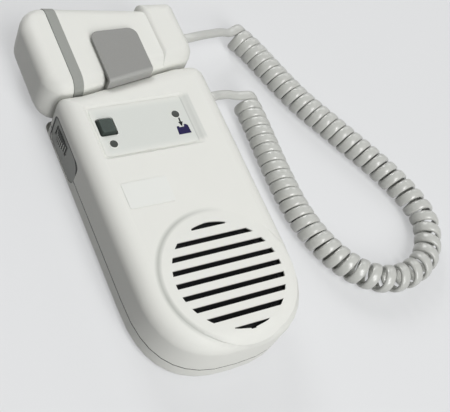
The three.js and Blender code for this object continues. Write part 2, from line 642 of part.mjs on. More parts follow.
function ledLens([x, y]) {
  const domeTop = panelFloorZ + panel.overlayThickness + film + led.rise;
  const collarTop = innerFaceZ - clearance;
  return rod(led.radius, boardTopZ + clearance, domeTop, x, y, 16)
    .add(rod(led.collarRadius, collarTop - led.collarDepth, collarTop, x, y, 16));
}

function panelOverlay() {
  const low = panelFloorZ + film;
  let sheet = prism(roundedRectangle(panel.left + clearance, panel.right - clearance, panel.bottom + clearance,
    panel.top - clearance, panel.cornerRadius), low, low + panel.overlayThickness);
  sheet = sheet.subtract(prism(roundedRectangle(...buttonEdges(button.gap), button.corner), low - overrun, faceZ));
  for (const [x, y] of Object.values(leds)) {
    sheet = sheet.subtract(rod(led.radius + clearance, low - overrun, faceZ, x, y, 16));
  }
  return sheet;
}

function namePlate() {
  return prism(roundedRectangle(plate.left, plate.right, plate.bottom, plate.top, plate.corner),
    faceZ + film, faceZ + film + plate.thickness);
}

function probeClip() {
  const profile = [
    new THREE.Vector2(-clip.rootThickness, clip.rootBottomZ),
    new THREE.Vector2(0, clip.rootBottomZ),
    new THREE.Vector2(0, clipPlateLowZ),
    new THREE.Vector2(clip.topY, clipPlateLowZ),
    new THREE.Vector2(clip.topY, clipPlateHighZ),
    ...arc(clip.bendRadius - clip.rootThickness, clipPlateHighZ - clip.bendRadius, clip.bendRadius,
      quarter, 2 * quarter, clip.bendSteps),
  ];
  const long = 4 * clipHalfU;
  const bent = slanted(prism(profile, 0, long).rotate([90, 0, 90]).translate([clipMiddleU - long / 2, 0, 0]));
  const edge = roundedRectangle(clip.left, clip.right, casing.leftTopY - clip.topY, clip.topY, clip.cornerRadius, 4);
  let whole = bent.intersect(prism(edge, 0, clipPlateHighZ + overrun));
  for (const u of clipScrewPlaces) {
    whole = whole.subtract(slanted(rod(screwHole, -overrun, clip.rootThickness + overrun, 0, 0, screw.holeSides)
      .rotate([90, 0, 0]).translate([u, 0, clip.screwZ])));
  }
  return whole;
}

function clipScrews() {
  const length = clip.padDepth + clip.rootThickness + clearance;
  const seatV = -clipRootDepth - clip.padDepth - clearance;
  return screwSet("clip_screw", clipScrewPlaces.map((u) => [
    casing.slopeLeftX + u * Math.cos(slope) - seatV * Math.sin(slope),
    casing.leftTopY + u * Math.sin(slope) + seatV * Math.cos(slope),
  ]), clip.screwZ, length).map((mesh) => {
    mesh.rotation.set(-quarter, 0, slope, "ZYX");
    return mesh;
  });
}

// The loudspeaker

const ringSolid = (outerRadius, innerRadius, low, high, sides = 24) =>
  rod(outerRadius, low, high, 0, 0, sides).subtract(rod(innerRadius, low - overrun, high + overrun, 0, 0, sides));

function speakerGasket() {
  const high = innerFaceZ - clearance;
  return ringSolid(speaker.flangeRadius, speaker.flangeRadius - speaker.gasketWidth, high - speaker.gasketDepth, high);
}

function speakerBasket() {
  const low = speakerTopZ - speaker.basketDepth;
  const profile = [
    [speaker.magnetRadius - speaker.sheet, low], [speaker.basketRadius, low],
    [speaker.coneRadius + speaker.sheet + clearance, speakerFlangeLowZ], [speaker.flangeRadius, speakerFlangeLowZ],
    [speaker.flangeRadius, speakerTopZ], [speaker.coneRadius + clearance, speakerTopZ],
    [speaker.coneRadius + clearance, speakerFlangeLowZ + bite], [speaker.basketRadius - speaker.sheet, low + speaker.sheet],
    [speaker.magnetRadius - speaker.sheet, low + speaker.sheet],
  ].map(([radius, z]) => new THREE.Vector2(radius, z));
  profile.push(profile[0].clone());
  return toSolid(new THREE.LatheGeometry(profile, 24).rotateX(Math.PI / 2));
}

function speakerCone() {
  const high = speakerTopZ - bite;
  const low = high - speaker.coneDepth;
  const profile = [
    [0, low + bite], [speaker.capRadius, low], [speaker.coneRadius, high - bite], [speaker.coneRadius, high],
    [speaker.capRadius, low + bite * 2], [speaker.capRadius / 2, low + bite * 4], [0, low + bite * 5],
  ].map(([radius, z]) => new THREE.Vector2(radius, z));
  return toSolid(new THREE.LatheGeometry(profile, 24).rotateX(Math.PI / 2));
}

function speakerMagnet() {
  const high = speakerTopZ - speaker.basketDepth - clearance;
  return rod(speaker.magnetRadius, high - speaker.magnetDepth, high, 0, 0, 20);
}

// The probe

const probeHalfAt = (x) => probe.halfAtLeft
  + (probe.halfAtWaistEnd - probe.halfAtLeft) * (x - probe.leftX) / (probe.waistEndX - probe.leftX);

const probeOutline = (inset) => {
  const radius = probe.capCornerRadius - inset;
  const left = probe.leftX + inset;
  const right = block.leftX + block.highCorner;
  const taper = Math.atan2(probeHalfAt(probe.leftX) - probeHalfAt(right), right - probe.leftX);
  const centreX = left + radius;
  const halfHere = probeHalfAt(centreX) - (inset + radius) / Math.cos(taper);
  return [
    ...arc(centreX, probe.centreY + halfHere, radius, quarter - taper, 2 * quarter, probe.cornerSteps),
    ...arc(centreX, probe.centreY - halfHere, radius, 2 * quarter, 3 * quarter + taper, probe.cornerSteps),
    new THREE.Vector2(right, probe.centreY - probeHalfAt(right) + inset),
    new THREE.Vector2(right, probe.centreY + probeHalfAt(right) - inset),
  ];
};

const blockOutline = (inset) => {
  const small = Math.max(block.leftCorner - inset, block.leftCorner / 2);
  const low = Math.max(block.lowCorner - inset, block.leftCorner);
  const high = Math.max(block.highCorner - inset, block.leftCorner);
  const left = block.leftX + inset * block.stepShare;
  const right = probe.rightX - inset;
  const halfLeft = block.halfLeft - inset;
  const halfRight = block.halfRight - inset;
  return [
    ...arc(right - high, block.centreY + halfRight - high, high, 0, quarter, block.cornerSteps),
    ...arc(left + small, block.centreY + halfLeft - small, small, quarter, 2 * quarter, 2),
    ...arc(left + small, block.centreY - halfLeft + small, small, 2 * quarter, 3 * quarter, 2),
    ...arc(right - low, block.centreY - halfRight + low, low, 3 * quarter, 4 * quarter, block.cornerSteps),
  ];
};

const probeSkin = (inset) => loft(probeOutline, roundedLevels(probe.backZ + inset, probe.frontZ - inset,
  probe.backFillet - inset, probe.frontFillet - inset, probe.filletSteps, inset));
const blockSkin = (inset) => loft(blockOutline, roundedLevels(probe.backZ + inset, probe.frontZ + block.rise - inset,
  block.backFillet - inset, probe.frontFillet - inset, probe.filletSteps, inset));

const probeSlice = (solid, low, high) => solid.intersect(boxBetween(
  [low, probe.centreY - 2 * probe.halfAtLeft, probe.backZ - overrun],
  [high, probe.centreY + 2 * probe.halfAtLeft, probe.frontZ + 2 * overrun]));

const spigotLeftX = band.right - spigot.length;
const bandDepthInset = band.depth;
const spigotInset = bandDepthInset + clearance;

function probeHull() {
  const skin = probeSlice(probeSkin(0), band.right + clearance, probe.rightX).add(blockSkin(0));
  const collar = probeSlice(probeSkin(spigotInset), spigotLeftX, band.right + band.collarBite);
  const hollow = probeSlice(probeSkin(probe.wall), band.right + spigot.wall, probe.rightX).add(blockSkin(probe.wall));
  const collarHollow = probeSlice(probeSkin(spigotInset + spigot.wall), spigotLeftX - overrun, band.right + 2 * spigot.wall);
  return skin.add(collar).subtract(hollow).subtract(collarHollow);
}

const probeFrontLowZ = probe.seamZ + clearance / 2;
const probeBackHighZ = probe.seamZ - clearance / 2;
const between = (solid, low, high) => solid.intersect(boxBetween(
  [probe.leftX - overrun, probe.centreY - 2 * probe.halfAtLeft, low],
  [probe.rightX + overrun, probe.centreY + 2 * probe.halfAtLeft, high]));

const probeBoardPosts = () => {
  const reach = probeBoard.width / 2 - probeBoard.postInset;
  return [
    [probeBoard.left + probeBoard.postInset, probe.centreY + reach],
    [probeBoard.right - probeBoard.postInset, probe.centreY - reach],
  ];
};

function probeFrontShell() {
  const hull = probeHull();
  const full = probeSkin(0).add(blockSkin(0));
  const pillars = joined(probePosts.map(([x, y]) =>
    rod(boss.slimRadius, probeFrontLowZ, probe.frontZ - probe.wall + block.rise + bite, x, probe.centreY + y, screw.bossSides)))
    .intersect(full);
  let shell = between(hull, probeFrontLowZ, faceZ + 2 * overrun).add(pillars);
  for (const [x, y] of probePosts) {
    shell = shell.subtract(rod(screwHole, probeFrontLowZ - overrun, probe.frontZ - 2 * probe.wall, x, probe.centreY + y, screw.holeSides));
  }
  return shell.subtract(alongX(glandSection(clearance, 2 * probe.wall))
    .translate([probe.rightX - probe.wall * 1.5, probeGland.y, probeGland.z]));
}

function probeBackShell() {
  const full = probeSkin(0).add(blockSkin(0));
  const cardLowZ = probeBoard.z - clearance;
  const floorZ = probe.backZ + probe.wall;
  const pillars = joined([
    ...probePosts.map(([x, y]) => rod(boss.radius, probe.backZ + bite, probeBackHighZ, x, probe.centreY + y, screw.bossSides)),
    ...probeBoardPosts().map(([x, y]) => rod(probeBoard.postRadius, floorZ - bite, cardLowZ, x, y, screw.bossSides)),
  ]).intersect(full);
  let shell = between(probeHull(), 0, probeBackHighZ).add(pillars);
  for (const [x, y] of probePosts) {
    shell = shell.subtract(rod(screw.headRadius + clearance, 0, probe.backZ + caseScrewSeatZ, x, probe.centreY + y, screw.bossSides));
    shell = shell.subtract(rod(screwHole, 0, probe.seamZ + overrun, x, probe.centreY + y, screw.holeSides));
  }
  for (const [x, y] of probeBoardPosts()) {
    shell = shell.subtract(rod(screwHole, probe.seamZ - overrun, cardLowZ + overrun, x, y, screw.holeSides));
  }
  return shell;
}

function probeFaceCap() {
  const skin = probeSlice(probeSkin(0), probe.leftX - overrun, band.left);
  const hollow = probeSkin(spigotInset - clearance);
  return skin.subtract(hollow);
}

function probeBand() {
  const ring = probeSlice(probeSkin(-band.rise).subtract(probeSkin(bandDepthInset)), band.left + clearance, band.right);
  return ring;
}

const probeMiddleZ = (probe.backZ + probe.frontZ) / 2;
const capInnerX = probe.leftX + spigotInset - clearance;

function transducer(side) {
  return alongX(rod(crystal.radius, 0, crystal.thickness, 0, 0, 20))
    .translate([capInnerX + clearance, probe.centreY + side * crystal.spacing / 2, probeMiddleZ]);
}

function backingBlock() {
  const left = capInnerX + 2 * clearance + crystal.thickness;
  return probeSlice(probeSkin(spigotInset), left, Math.min(left + backing.depth, spigotLeftX - clearance));
}

function probeCard() {
  let card = boxBetween(
    [probeBoard.left, probe.centreY - probeBoard.width / 2, probeBoard.z],
    [probeBoard.right, probe.centreY + probeBoard.width / 2, probeBoard.z + probeBoard.thickness]);
  for (const [x, y] of probeBoardPosts()) card = card.subtract(rod(screwHole, probeBoard.z - overrun, faceZ, x, y, screw.holeSides));
  return card;
}

// The cord

const cordMiddleOffset = cord.coilRadius - cord.thickness / 2;
const coilMiddleZ = cord.coilRadius + film;
const coilCurve = new THREE.CatmullRomCurve3(
  coilRoute.map(([x, y]) => new THREE.Vector3(x, y, coilMiddleZ)), false, "centripetal");
coilCurve.arcLengthDivisions = 1000;

// Distance along the coil at each turn: the turns stand further apart round the bend.
const turnPlaces = (() => {
  const weight = (share) => 1 / (1 + cord.bendOpening
    * Math.exp(-(((share - cord.bendMiddleShare) / cord.bendSpreadShare) ** 2)));
  const samples = 2000;
  const sums = [0];
  for (let i = 0; i < samples; i++) sums.push(sums[i] + weight((i + 0.5) / samples));
  return (turn) => {
    const target = (turn / cord.turns) * sums[samples];
    let high = sums.findIndex((value) => value >= target);
    high = Math.max(high, 1);
    return (high - 1 + (target - sums[high - 1]) / (sums[high] - sums[high - 1])) / samples;
  };
})();

const helixPoint = (turn) => {
  const share = Math.min(Math.max(turnPlaces(turn), 0), 1);
  const centre = coilCurve.getPointAt(share);
  const along = coilCurve.getTangentAt(share);
  const across = new THREE.Vector3(0, 0, 1).cross(along).normalize();
  const angle = turn * 2 * Math.PI;
  const outward = new THREE.Vector3(0, 0, Math.cos(angle)).addScaledVector(across, Math.sin(angle));
  return { point: centre.addScaledVector(outward, cordMiddleOffset), outward };
};

// A flat section of the cord at a point, square to its direction, its thin way along outward.
const cordRing = (point, direction, outward, sides) => {
  const wide = new THREE.Vector3().crossVectors(direction, outward).normalize();
  const thin = new THREE.Vector3().crossVectors(wide, direction).normalize();
  const ring = [];
  for (let i = 0; i < sides; i++) {
    const angle = (i / sides) * 2 * Math.PI + quarter;
    const place = point.clone()
      .addScaledVector(wide, (cord.width / 2) * Math.cos(angle))
      .addScaledVector(thin, (cord.thickness / 2) * Math.sin(angle));
    ring.push(place.toArray());
  }
  return ring;
};

const coilRings = (() => {
  const count = cord.turns * cord.stepsPerTurn;
  const places = [];
  for (let i = 0; i <= count; i++) places.push(helixPoint(i / cord.stepsPerTurn));
  const direction = (i) => places[Math.min(i + 1, count)].point.clone()
    .sub(places[Math.max(i - 1, 0)].point).normalize();
  const rings = places.map(({ point, outward }, i) => cordRing(point, direction(i), outward, cord.sides));
  const startWay = direction(0).clone().setZ(0).normalize();
  const endWay = direction(count).clone().setZ(0).normalize();
  const start = places[0].point.clone().addScaledVector(startWay, -cord.lead);
  const end = places[count].point.clone().addScaledVector(endWay, cord.lead);
  rings[0] = cordRing(places[0].point, startWay, places[0].outward, cord.sides);
  rings[count] = cordRing(places[count].point, endWay, places[count].outward, cord.sides);
  return {
    rings: [cordRing(start, startWay, places[0].outward, cord.sides), ...rings,
      cordRing(end, endWay, places[count].outward, cord.sides)],
    start, startWay, end, endWay,
  };
})();

const tubeThrough = (rings) => {
  const count = rings[0].length;
  const faces = [];
  for (let ring = 0; ring + 1 < rings.length; ring++) {
    for (let i = 0; i < count; i++) {
      const a = ring * count + i;
      const b = ring * count + (i + 1) % count;
      faces.push(a, b + count, b, a, a + count, b + count);
    }
  }
  const last = (rings.length - 1) * count;
  for (let i = 1; i + 1 < count; i++) {
    faces.push(0, i, i + 1);
    faces.push(last, last + i + 1, last + i);
  }
  const geometry = new THREE.BufferGeometry();
  geometry.setAttribute("position", new THREE.Float32BufferAttribute(rings.flat(2), 3));
  geometry.setIndex(faces);
  return geometry;
};

// The least distance between points on the skin of two neighbouring turns.
const leastGap = (rings) => {
  const points = [];
  rings.forEach((ring, index) => ring.forEach((place, i) => {
    const next = ring[(i + 1) % ring.length];
    for (const share of [0, 0.5]) {
      points.push([index, place.map((value, axis) => value + share * (next[axis] - value))]);
    }
  }));
  let least = Infinity;
  for (const [index, a] of points) {
    for (const [other, b] of points) {
      const apart = other - index;
      if (apart < cord.stepsPerTurn / 2 || apart > cord.stepsPerTurn * 3 / 2) continue;
      least = Math.min(least, Math.hypot(a[0] - b[0], a[1] - b[1], a[2] - b[2]));
    }
  }
  return least;
};

const tailThrough = (points) => {
  const curve = new THREE.CatmullRomCurve3(points, false, "centripetal");
  const section = new THREE.Shape(Array.from({ length: cord.tailSides }, (_, i) => {
    const angle = ((i + 0.5) / cord.tailSides) * 2 * Math.PI;
    return new THREE.Vector2(cord.thickness / 2 * Math.cos(angle), cord.width / 2 * Math.sin(angle));
  }));
  return new THREE.ExtrudeGeometry(section, { steps: cord.tailSteps, extrudePath: curve, bevelEnabled: false });
};

const housingGlandFaceX = wallRightX + clearance + gland.flangeDepth;
const probeGlandFaceX = probe.rightX + clearance + gland.flangeDepth;

function cordTailProbe() {
  const way = new THREE.Vector3(cord.lead, 0, 0);
  const first = new THREE.Vector3(probeGlandFaceX + clearance, probeGland.y, probeGland.z);
  const last = coilRings.start.clone().addScaledVector(coilRings.startWay, -clearance);
  return tailThrough([first, first.clone().add(way), ...probeTailRoute.map((p) => new THREE.Vector3(...p)),
    last.clone().addScaledVector(coilRings.startWay, -cord.lead / 2), last]);
}

function cordTailHousing() {
  const way = new THREE.Vector3(cord.lead, 0, 0);
  const last = new THREE.Vector3(housingGlandFaceX + clearance, housingGland.y, housingGland.z);
  const first = coilRings.end.clone().addScaledVector(coilRings.endWay, clearance);
  return tailThrough([first, first.clone().addScaledVector(coilRings.endWay, cord.lead / 2),
    ...housingTailRoute.map((p) => new THREE.Vector3(...p)), last.clone().add(way), last]);
}

// A flat grommet, made along Z: its neck, and with the flanges its whole body.
function glandSection(grow, depth) {
  const halfWidth = gland.neckWidth / 2 + grow;
  const halfHeight = gland.neckHeight / 2 + grow;
  return prism(roundedRectangle(-halfHeight, halfHeight, -halfWidth, halfWidth, gland.corner), 0, depth);
}

function glandBody(wall) {
  const halfWidth = gland.flangeWidth / 2;
  const halfHeight = gland.flangeHeight / 2;
  const flange = prism(roundedRectangle(-halfHeight, halfHeight, -halfWidth, halfWidth, gland.corner + clearance),
    0, gland.flangeDepth);
  const reach = wall + 2 * clearance;
  return alongX(flange.translate([0, 0, -gland.flangeDepth])
    .add(glandSection(0, reach + 2 * bite).translate([0, 0, -bite]))
    .add(flange.translate([0, 0, reach])));
}

// Assembly

const unit = new THREE.Group();
unit.add(
  named("front_shell", frontShell(), whiteShell()),
  named("back_shell", backShell(), whiteShell()),
  named("wheel_bezel", wheelBezel(), greyPlastic()),
  named("probe_clip", probeClip(), greyPlastic()),
  ...clipScrews(),
  named("panel_overlay", panelOverlay(), finish(0xd5dad3, 0.5)),
  named("name_plate", namePlate(), finish(0xe3e4de, 0.35)),
  named("power_led_lens", ledLens(leds.power), finish(0x5b635e, 0.25)),
  named("signal_led_lens", ledLens(leds.signal), finish(0x5b635e, 0.25)),
  named("power_switch", powerSwitch(), blackPlastic()),
  named("main_board", mainBoard(), boardGreen()),
  ...screwSet("board_screw", boardPosts, boardLowZ - clearance,
    board.thickness + clearance + (innerFaceZ - boardTopZ) / 2),
  named("amplifier_chip", partOnBoard(chip), blackPlastic()),
  named("output_capacitor", rod(capacitor.radius, boardTopZ + clearance, boardTopZ + clearance + capacitor.height,
    capacitor.x, capacitor.y, 14), finish(0x27304f, 0.4)),
  named("volume_pot", volumePot(), finish(0x3b3f44, 0.5)),
  named("volume_shaft", volumeShaft(), steel()),
  ...screwSet("wheel_screw", [[wheelX, wheelY]], shaftLowZ - clearance,
    wheel.thickness, wheel.radius / 2.4),
  named("speaker_gasket", speakerGasket(), finish(0x2c2d2f, 0.9)),
  named("speaker_basket", speakerBasket(), steel()),
  named("speaker_cone", speakerCone(), finish(0x202123, 0.85)),
  named("speaker_magnet", speakerMagnet(), finish(0x4b4d50, 0.5, 0.6)),
  ...screwSet("speaker_screw", speakerScrewPlaces(), speakerFlangeLowZ - clearance,
    innerFaceZ - speakerFlangeLowZ - bite, screw.washerRadius),
  named("battery", batteryBlock(), finish(0x3a3d42, 0.4, 0.3)),
  named("battery_snap", batterySnap(), blackPlastic()),
  named("battery_pad", batteryPad(), finish(0x3f4042, 0.95)),
  ...screwSet("case_screw", casePosts, caseScrewSeatZ - clearance, caseScrewLength),
  named("housing_gland", glandBody(casing.wall)
    .translate([wallRightX - casing.wall - clearance, housingGland.y, housingGland.z]), cordPlastic()),
  named("power_button", powerButton(), darkGreen()),
  named("battery_door", batteryDoor(), whiteShell()),
);

const volumeWheel = named("volume_wheel", wheelSolid(), greyPlastic());
volumeWheel.position.set(wheelX, wheelY, wheel.middleZ);
unit.add(volumeWheel);

const probeGroup = new THREE.Group();
probeGroup.add(
  named("probe_front_shell", probeFrontShell(), whiteShell()),
  named("probe_back_shell", probeBackShell(), whiteShell()),
  named("probe_face_cap", probeFaceCap(), whiteShell()),
  named("probe_band", probeBand(), greyRubber()),
  named("transmit_crystal", transducer(-1), finish(0xb8a888, 0.5)),
  named("receive_crystal", transducer(1), finish(0xb8a888, 0.5)),
  named("crystal_backing", backingBlock(), finish(0x55514a, 0.8)),
  named("probe_board", probeCard(), boardGreen()),
  ...screwSet("probe_board_screw", probeBoardPosts(), probeBoard.z + probeBoard.thickness + clearance,
    screw.headRadius * 2).map((mesh) => {
    mesh.rotation.x = Math.PI;
    return mesh;
  }),
  ...screwSet("probe_screw", probePosts.map(([x, y]) => [x, probe.centreY + y]),
    probe.backZ + caseScrewSeatZ - clearance, caseScrewLength),
  named("probe_gland", glandBody(probe.wall)
    .translate([probe.rightX - probe.wall - clearance, probeGland.y, probeGland.z]), cordPlastic()),
);

const cordGroup = new THREE.Group();
cordGroup.add(
  named("cord_tail_probe", cordTailProbe(), cordPlastic()),
  named("cord_coil", tubeThrough(coilRings.rings), cordPlastic()),
  named("cord_tail_housing", cordTailHousing(), cordPlastic()),
);
console.log(`least gap between the turns of the cord: ${leastGap(coilRings.rings).toFixed(2)} mm`);

// The origin sits in the middle of the resting face of the unit and its probe, without the cord.
const device = new THREE.Group();
device.add(unit, probeGroup);
const whole = new THREE.Group();
whole.add(device, cordGroup);
const bounds = new THREE.Box3().setFromObject(device);
whole.position.set(-(bounds.min.x + bounds.max.x) / 2, -(bounds.min.y + bounds.max.y) / 2, -bounds.min.z);

export default whole;
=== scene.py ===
"""Looks of a handheld vascular doppler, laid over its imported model.

Lengths are written in millimetres and made metres by place() and MM. Drawn positions count from
the middle of the loudspeaker grille, with heights over the resting face.
"""
import bisect
import json
import math

import bmesh
import bpy
from mathutils import Matrix, Vector

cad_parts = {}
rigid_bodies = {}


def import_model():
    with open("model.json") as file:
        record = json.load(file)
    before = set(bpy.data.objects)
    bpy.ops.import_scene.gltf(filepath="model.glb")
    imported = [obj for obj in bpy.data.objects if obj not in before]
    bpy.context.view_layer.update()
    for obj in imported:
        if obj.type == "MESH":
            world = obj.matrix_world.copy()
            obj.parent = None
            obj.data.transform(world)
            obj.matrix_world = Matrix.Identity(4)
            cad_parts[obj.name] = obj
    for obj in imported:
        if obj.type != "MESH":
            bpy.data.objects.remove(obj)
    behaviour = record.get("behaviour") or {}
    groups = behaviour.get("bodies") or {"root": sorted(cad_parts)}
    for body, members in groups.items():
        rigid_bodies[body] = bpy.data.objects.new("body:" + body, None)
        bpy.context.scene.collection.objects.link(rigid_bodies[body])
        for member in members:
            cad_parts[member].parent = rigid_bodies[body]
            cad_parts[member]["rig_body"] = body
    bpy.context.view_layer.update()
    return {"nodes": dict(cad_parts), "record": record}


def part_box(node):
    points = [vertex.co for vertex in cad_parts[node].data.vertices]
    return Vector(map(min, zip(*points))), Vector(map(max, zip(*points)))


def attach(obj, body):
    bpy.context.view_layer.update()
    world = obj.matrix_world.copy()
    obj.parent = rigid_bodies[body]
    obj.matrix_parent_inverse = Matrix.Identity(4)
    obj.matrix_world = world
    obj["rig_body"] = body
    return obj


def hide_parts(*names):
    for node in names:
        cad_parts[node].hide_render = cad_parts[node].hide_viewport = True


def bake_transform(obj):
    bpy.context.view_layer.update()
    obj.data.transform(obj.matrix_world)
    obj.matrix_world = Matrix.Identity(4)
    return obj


MM = 0.001

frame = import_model()

# From the low corner of the front shell to the middle of the grille, and the height of its face
SHELL_LEFT = 40.4
SHELL_BOTTOM = 31.5
FACE = 32.0
shell_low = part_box("front_shell")[0]
GRILLE = Vector((shell_low.x + SHELL_LEFT * MM, shell_low.y + SHELL_BOTTOM * MM, 0.0))


def place(x, y, z=0.0):
    """A drawn position as a point of the row frame, in metres."""
    return GRILLE + Vector((x, y, z)) * MM


# Camera: its axes, its place and its lens

CAMERA_ACROSS = (0.8594, -0.3901, 0.3307)
CAMERA_UPWARD = (0.1870, 0.8416, 0.5067)
CAMERA_BACKWARD = (-0.4759, -0.3736, 0.7962)
CAMERA_SPOT = (-194.0, -130.8, 376.5)
SENSOR_WIDTH = 36.0
FOCAL_LENGTH = 80.0
NEAREST_METRES = 0.01
FARTHEST_METRES = 20.0


def make_camera():
    lens = bpy.data.cameras.new("camera")
    lens.sensor_fit = "HORIZONTAL"
    lens.sensor_width = SENSOR_WIDTH
    lens.lens = FOCAL_LENGTH
    lens.clip_start = NEAREST_METRES
    lens.clip_end = FARTHEST_METRES
    camera = bpy.data.objects.new("camera", lens)
    turned = Matrix((CAMERA_ACROSS, CAMERA_UPWARD, CAMERA_BACKWARD)).transposed().to_4x4()
    turned.translation = place(*CAMERA_SPOT)
    camera.matrix_world = turned
    bpy.context.scene.collection.objects.link(camera)
    bpy.context.scene.camera = camera


make_camera()


# Shader groups


class Graph:
    """Short calls for the nodes of one shader tree."""

    def __init__(self, tree):
        self.nodes, self.links = tree.nodes, tree.links

    def feed(self, socket, value):
        """Links an input to another node's output, or gives it a plain value."""
        if isinstance(value, bpy.types.NodeSocket):
            self.links.new(value, socket)
        else:
            socket.default_value = value

    def node(self, kind, inputs, **settings):
        """The outputs of a new node. Its settings come first, since they choose which inputs it has."""
        node = self.nodes.new("ShaderNode" + kind)
        for title, value in settings.items():
            setattr(node, title, value)
        for title, value in inputs.items():
            self.feed(node.inputs[title], value)
        return node.outputs

    def calc(self, operation, first, second=0.0):
        return self.node("Math", {0: first, 1: second}, operation=operation)[0]

    def vector(self, operation, first, second):
        outputs = self.node("VectorMath", {0: first, 1: second}, operation=operation)
        return outputs["Value" if operation == "DOT_PRODUCT" else "Vector"]

    def length(self, vector):
        return self.node("VectorMath", {0: vector}, operation="LENGTH")["Value"]

    def axes(self, vector):
        return self.node("SeparateXYZ", {"Vector": vector})

    def clamped(self, value):
        return self.node("Clamp", {"Value": value})["Result"]

    def mix(self, factor, first, second):
        return self.node("Mix", {"Factor": factor, "A": first, "B": second}, data_type="RGBA")["Result"]

    def position(self):
        return self.node("TexCoord", {})["Object"]


def new_group(name, inputs, outputs):
    """A shader group with its named sockets. An input is a number with its default, or a vector with None."""
    tree = bpy.data.node_groups.new(name, "ShaderNodeTree")
    for title, default in inputs.items():
        kind = "NodeSocketVector" if default is None else "NodeSocketFloat"
        socket = tree.interface.new_socket(title, in_out="INPUT", socket_type=kind)
        if default is not None:
            socket.default_value = default
    for title in outputs:
        tree.interface.new_socket(title, in_out="OUTPUT", socket_type="NodeSocketFloat")
    given = tree.nodes.new("NodeGroupInput").outputs
    out = tree.nodes.new("NodeGroupOutput").inputs
    return tree, Graph(tree), given, out


BROAD_SHARE = 0.35


def make_moulded_skin():
    """Fine spark-eroded grain with broad, faint unevenness of the moulding."""
    group, graph, given, out = new_group(
        "moulded_skin", {"Position": None, "Grain per metre": 2500.0}, ["Height", "Mottle"])
    grain = graph.node("TexNoise", {
        "Vector": given["Position"], "Scale": given["Grain per metre"], "Detail": 3.0, "Roughness": 0.6,
    })["Fac"]
    broad = graph.node("TexNoise", {"Vector": given["Position"], "Scale": 45.0, "Detail": 2.0})["Fac"]
    soft = graph.calc("MULTIPLY", broad, BROAD_SHARE)
    fine = graph.calc("MULTIPLY", grain, 1 - BROAD_SHARE)
    graph.feed(out["Height"], grain)
    graph.feed(out["Mottle"], graph.calc("ADD", soft, fine))
    return group


def make_handling_dust():
    """Sparse specks and faint rubbed patches, as a mask."""
    group, graph, given, out = new_group("handling_dust", {"Position": None, "Amount": 0.3}, ["Mask"])
    patch = graph.node("TexNoise", {
        "Vector": given["Position"], "Scale": 70.0, "Detail": 5.0, "Distortion": 0.6})["Fac"]
    worn = graph.node("MapRange", {"Value": patch, "From Min": 0.55, "From Max": 0.8})["Result"]
    graph.feed(out["Mask"], graph.calc("MULTIPLY", worn, given["Amount"]))
    return group


def make_round_well():
    """1 inside a round area around an upright axis and below a height, 0 outside it."""
    group, graph, given, out = new_group(
        "round_well", {"Position": None, "Centre": None, "Radius": 0.026, "Top": 0.03, "Softness": 0.0003},
        ["Mask"])
    away = graph.axes(graph.vector("SUBTRACT", given["Position"], given["Centre"]))
    squares = [graph.calc("POWER", graph.calc("ABSOLUTE", away[axis]), 2.0) for axis in ("X", "Y")]
    far = graph.calc("SQRT", graph.calc("ADD", *squares))
    within = graph.calc("LESS_THAN", far, given["Radius"])
    depth = graph.calc("SUBTRACT", given["Top"], graph.axes(given["Position"])["Z"])
    below = graph.clamped(graph.calc("DIVIDE", depth, given["Softness"]))
    graph.feed(out["Mask"], graph.calc("MULTIPLY", within, below))
    return group


def make_height_band():
    """1 between two heights, 0 above and below them."""
    group, graph, given, out = new_group(
        "height_band", {"Position": None, "Low": 0.0, "High": 0.001}, ["Mask"])
    height = graph.axes(given["Position"])["Z"]
    over = graph.calc("GREATER_THAN", height, given["Low"])
    under = graph.calc("LESS_THAN", height, given["High"])
    graph.feed(out["Mask"], graph.calc("MULTIPLY", over, under))
    return group


def make_box_area():
    """1 inside an upright box, with edges that fade inwards over a width, 0 outside it."""
    group, graph, given, out = new_group(
        "box_area", {"Position": None, "Low": None, "High": None, "Fade": None}, ["Mask"])
    mask = 1.0
    for first, second in (("Position", "Low"), ("High", "Position")):
        inside = graph.vector("SUBTRACT", given[first], given[second])
        for share in graph.axes(graph.vector("DIVIDE", inside, given["Fade"])):
            mask = graph.calc("MULTIPLY", graph.clamped(share), mask)
    graph.feed(out["Mask"], mask)
    return group


def make_ring_shade():
    """1 on a ring around an upright axis, fading over its width and away from one side of it."""
    group, graph, given, out = new_group(
        "ring_shade", {"Position": None, "Centre": None, "Side": None, "Radius": 0.03, "Width": 0.001},
        ["Mask"])
    away = graph.vector("SUBTRACT", given["Position"], given["Centre"])
    flat = graph.vector("MULTIPLY", away, (1.0, 1.0, 0.0))
    off = graph.calc("ABSOLUTE", graph.calc("SUBTRACT", graph.length(flat), given["Radius"]))
    near = graph.clamped(graph.calc("SUBTRACT", 1.0, graph.calc("DIVIDE", off, given["Width"])))
    toward = graph.clamped(graph.vector("DOT_PRODUCT", flat, given["Side"]))
    graph.feed(out["Mask"], graph.calc("MULTIPLY", near, toward))
    return group


def make_near_side():
    """1 on the near side of an upright plane, fading out over a width towards it, 0 beyond it."""
    group, graph, given, out = new_group(
        "near_side", {"Position": None, "Way": None, "Reach": 0.0, "Fade": 0.001}, ["Mask"])
    along = graph.vector("DOT_PRODUCT", given["Position"], given["Way"])
    left = graph.calc("SUBTRACT", given["Reach"], along)
    graph.feed(out["Mask"], graph.clamped(graph.calc("DIVIDE", left, given["Fade"])))
    return group


moulded_skin = make_moulded_skin()
handling_dust = make_handling_dust()
round_well = make_round_well()
height_band = make_height_band()
box_area = make_box_area()
ring_shade = make_ring_shade()
near_side = make_near_side()


# Finishes


def srgb(red, green, blue):
    """A colour as read off a picture, made linear, with its alpha."""
    def linear(value):
        share = value / 255.0
        return share / 12.92 if share <= 0.04045 else ((share + 0.055) / 1.055) ** 2.4
    return (linear(red), linear(green), linear(blue), 1.0)


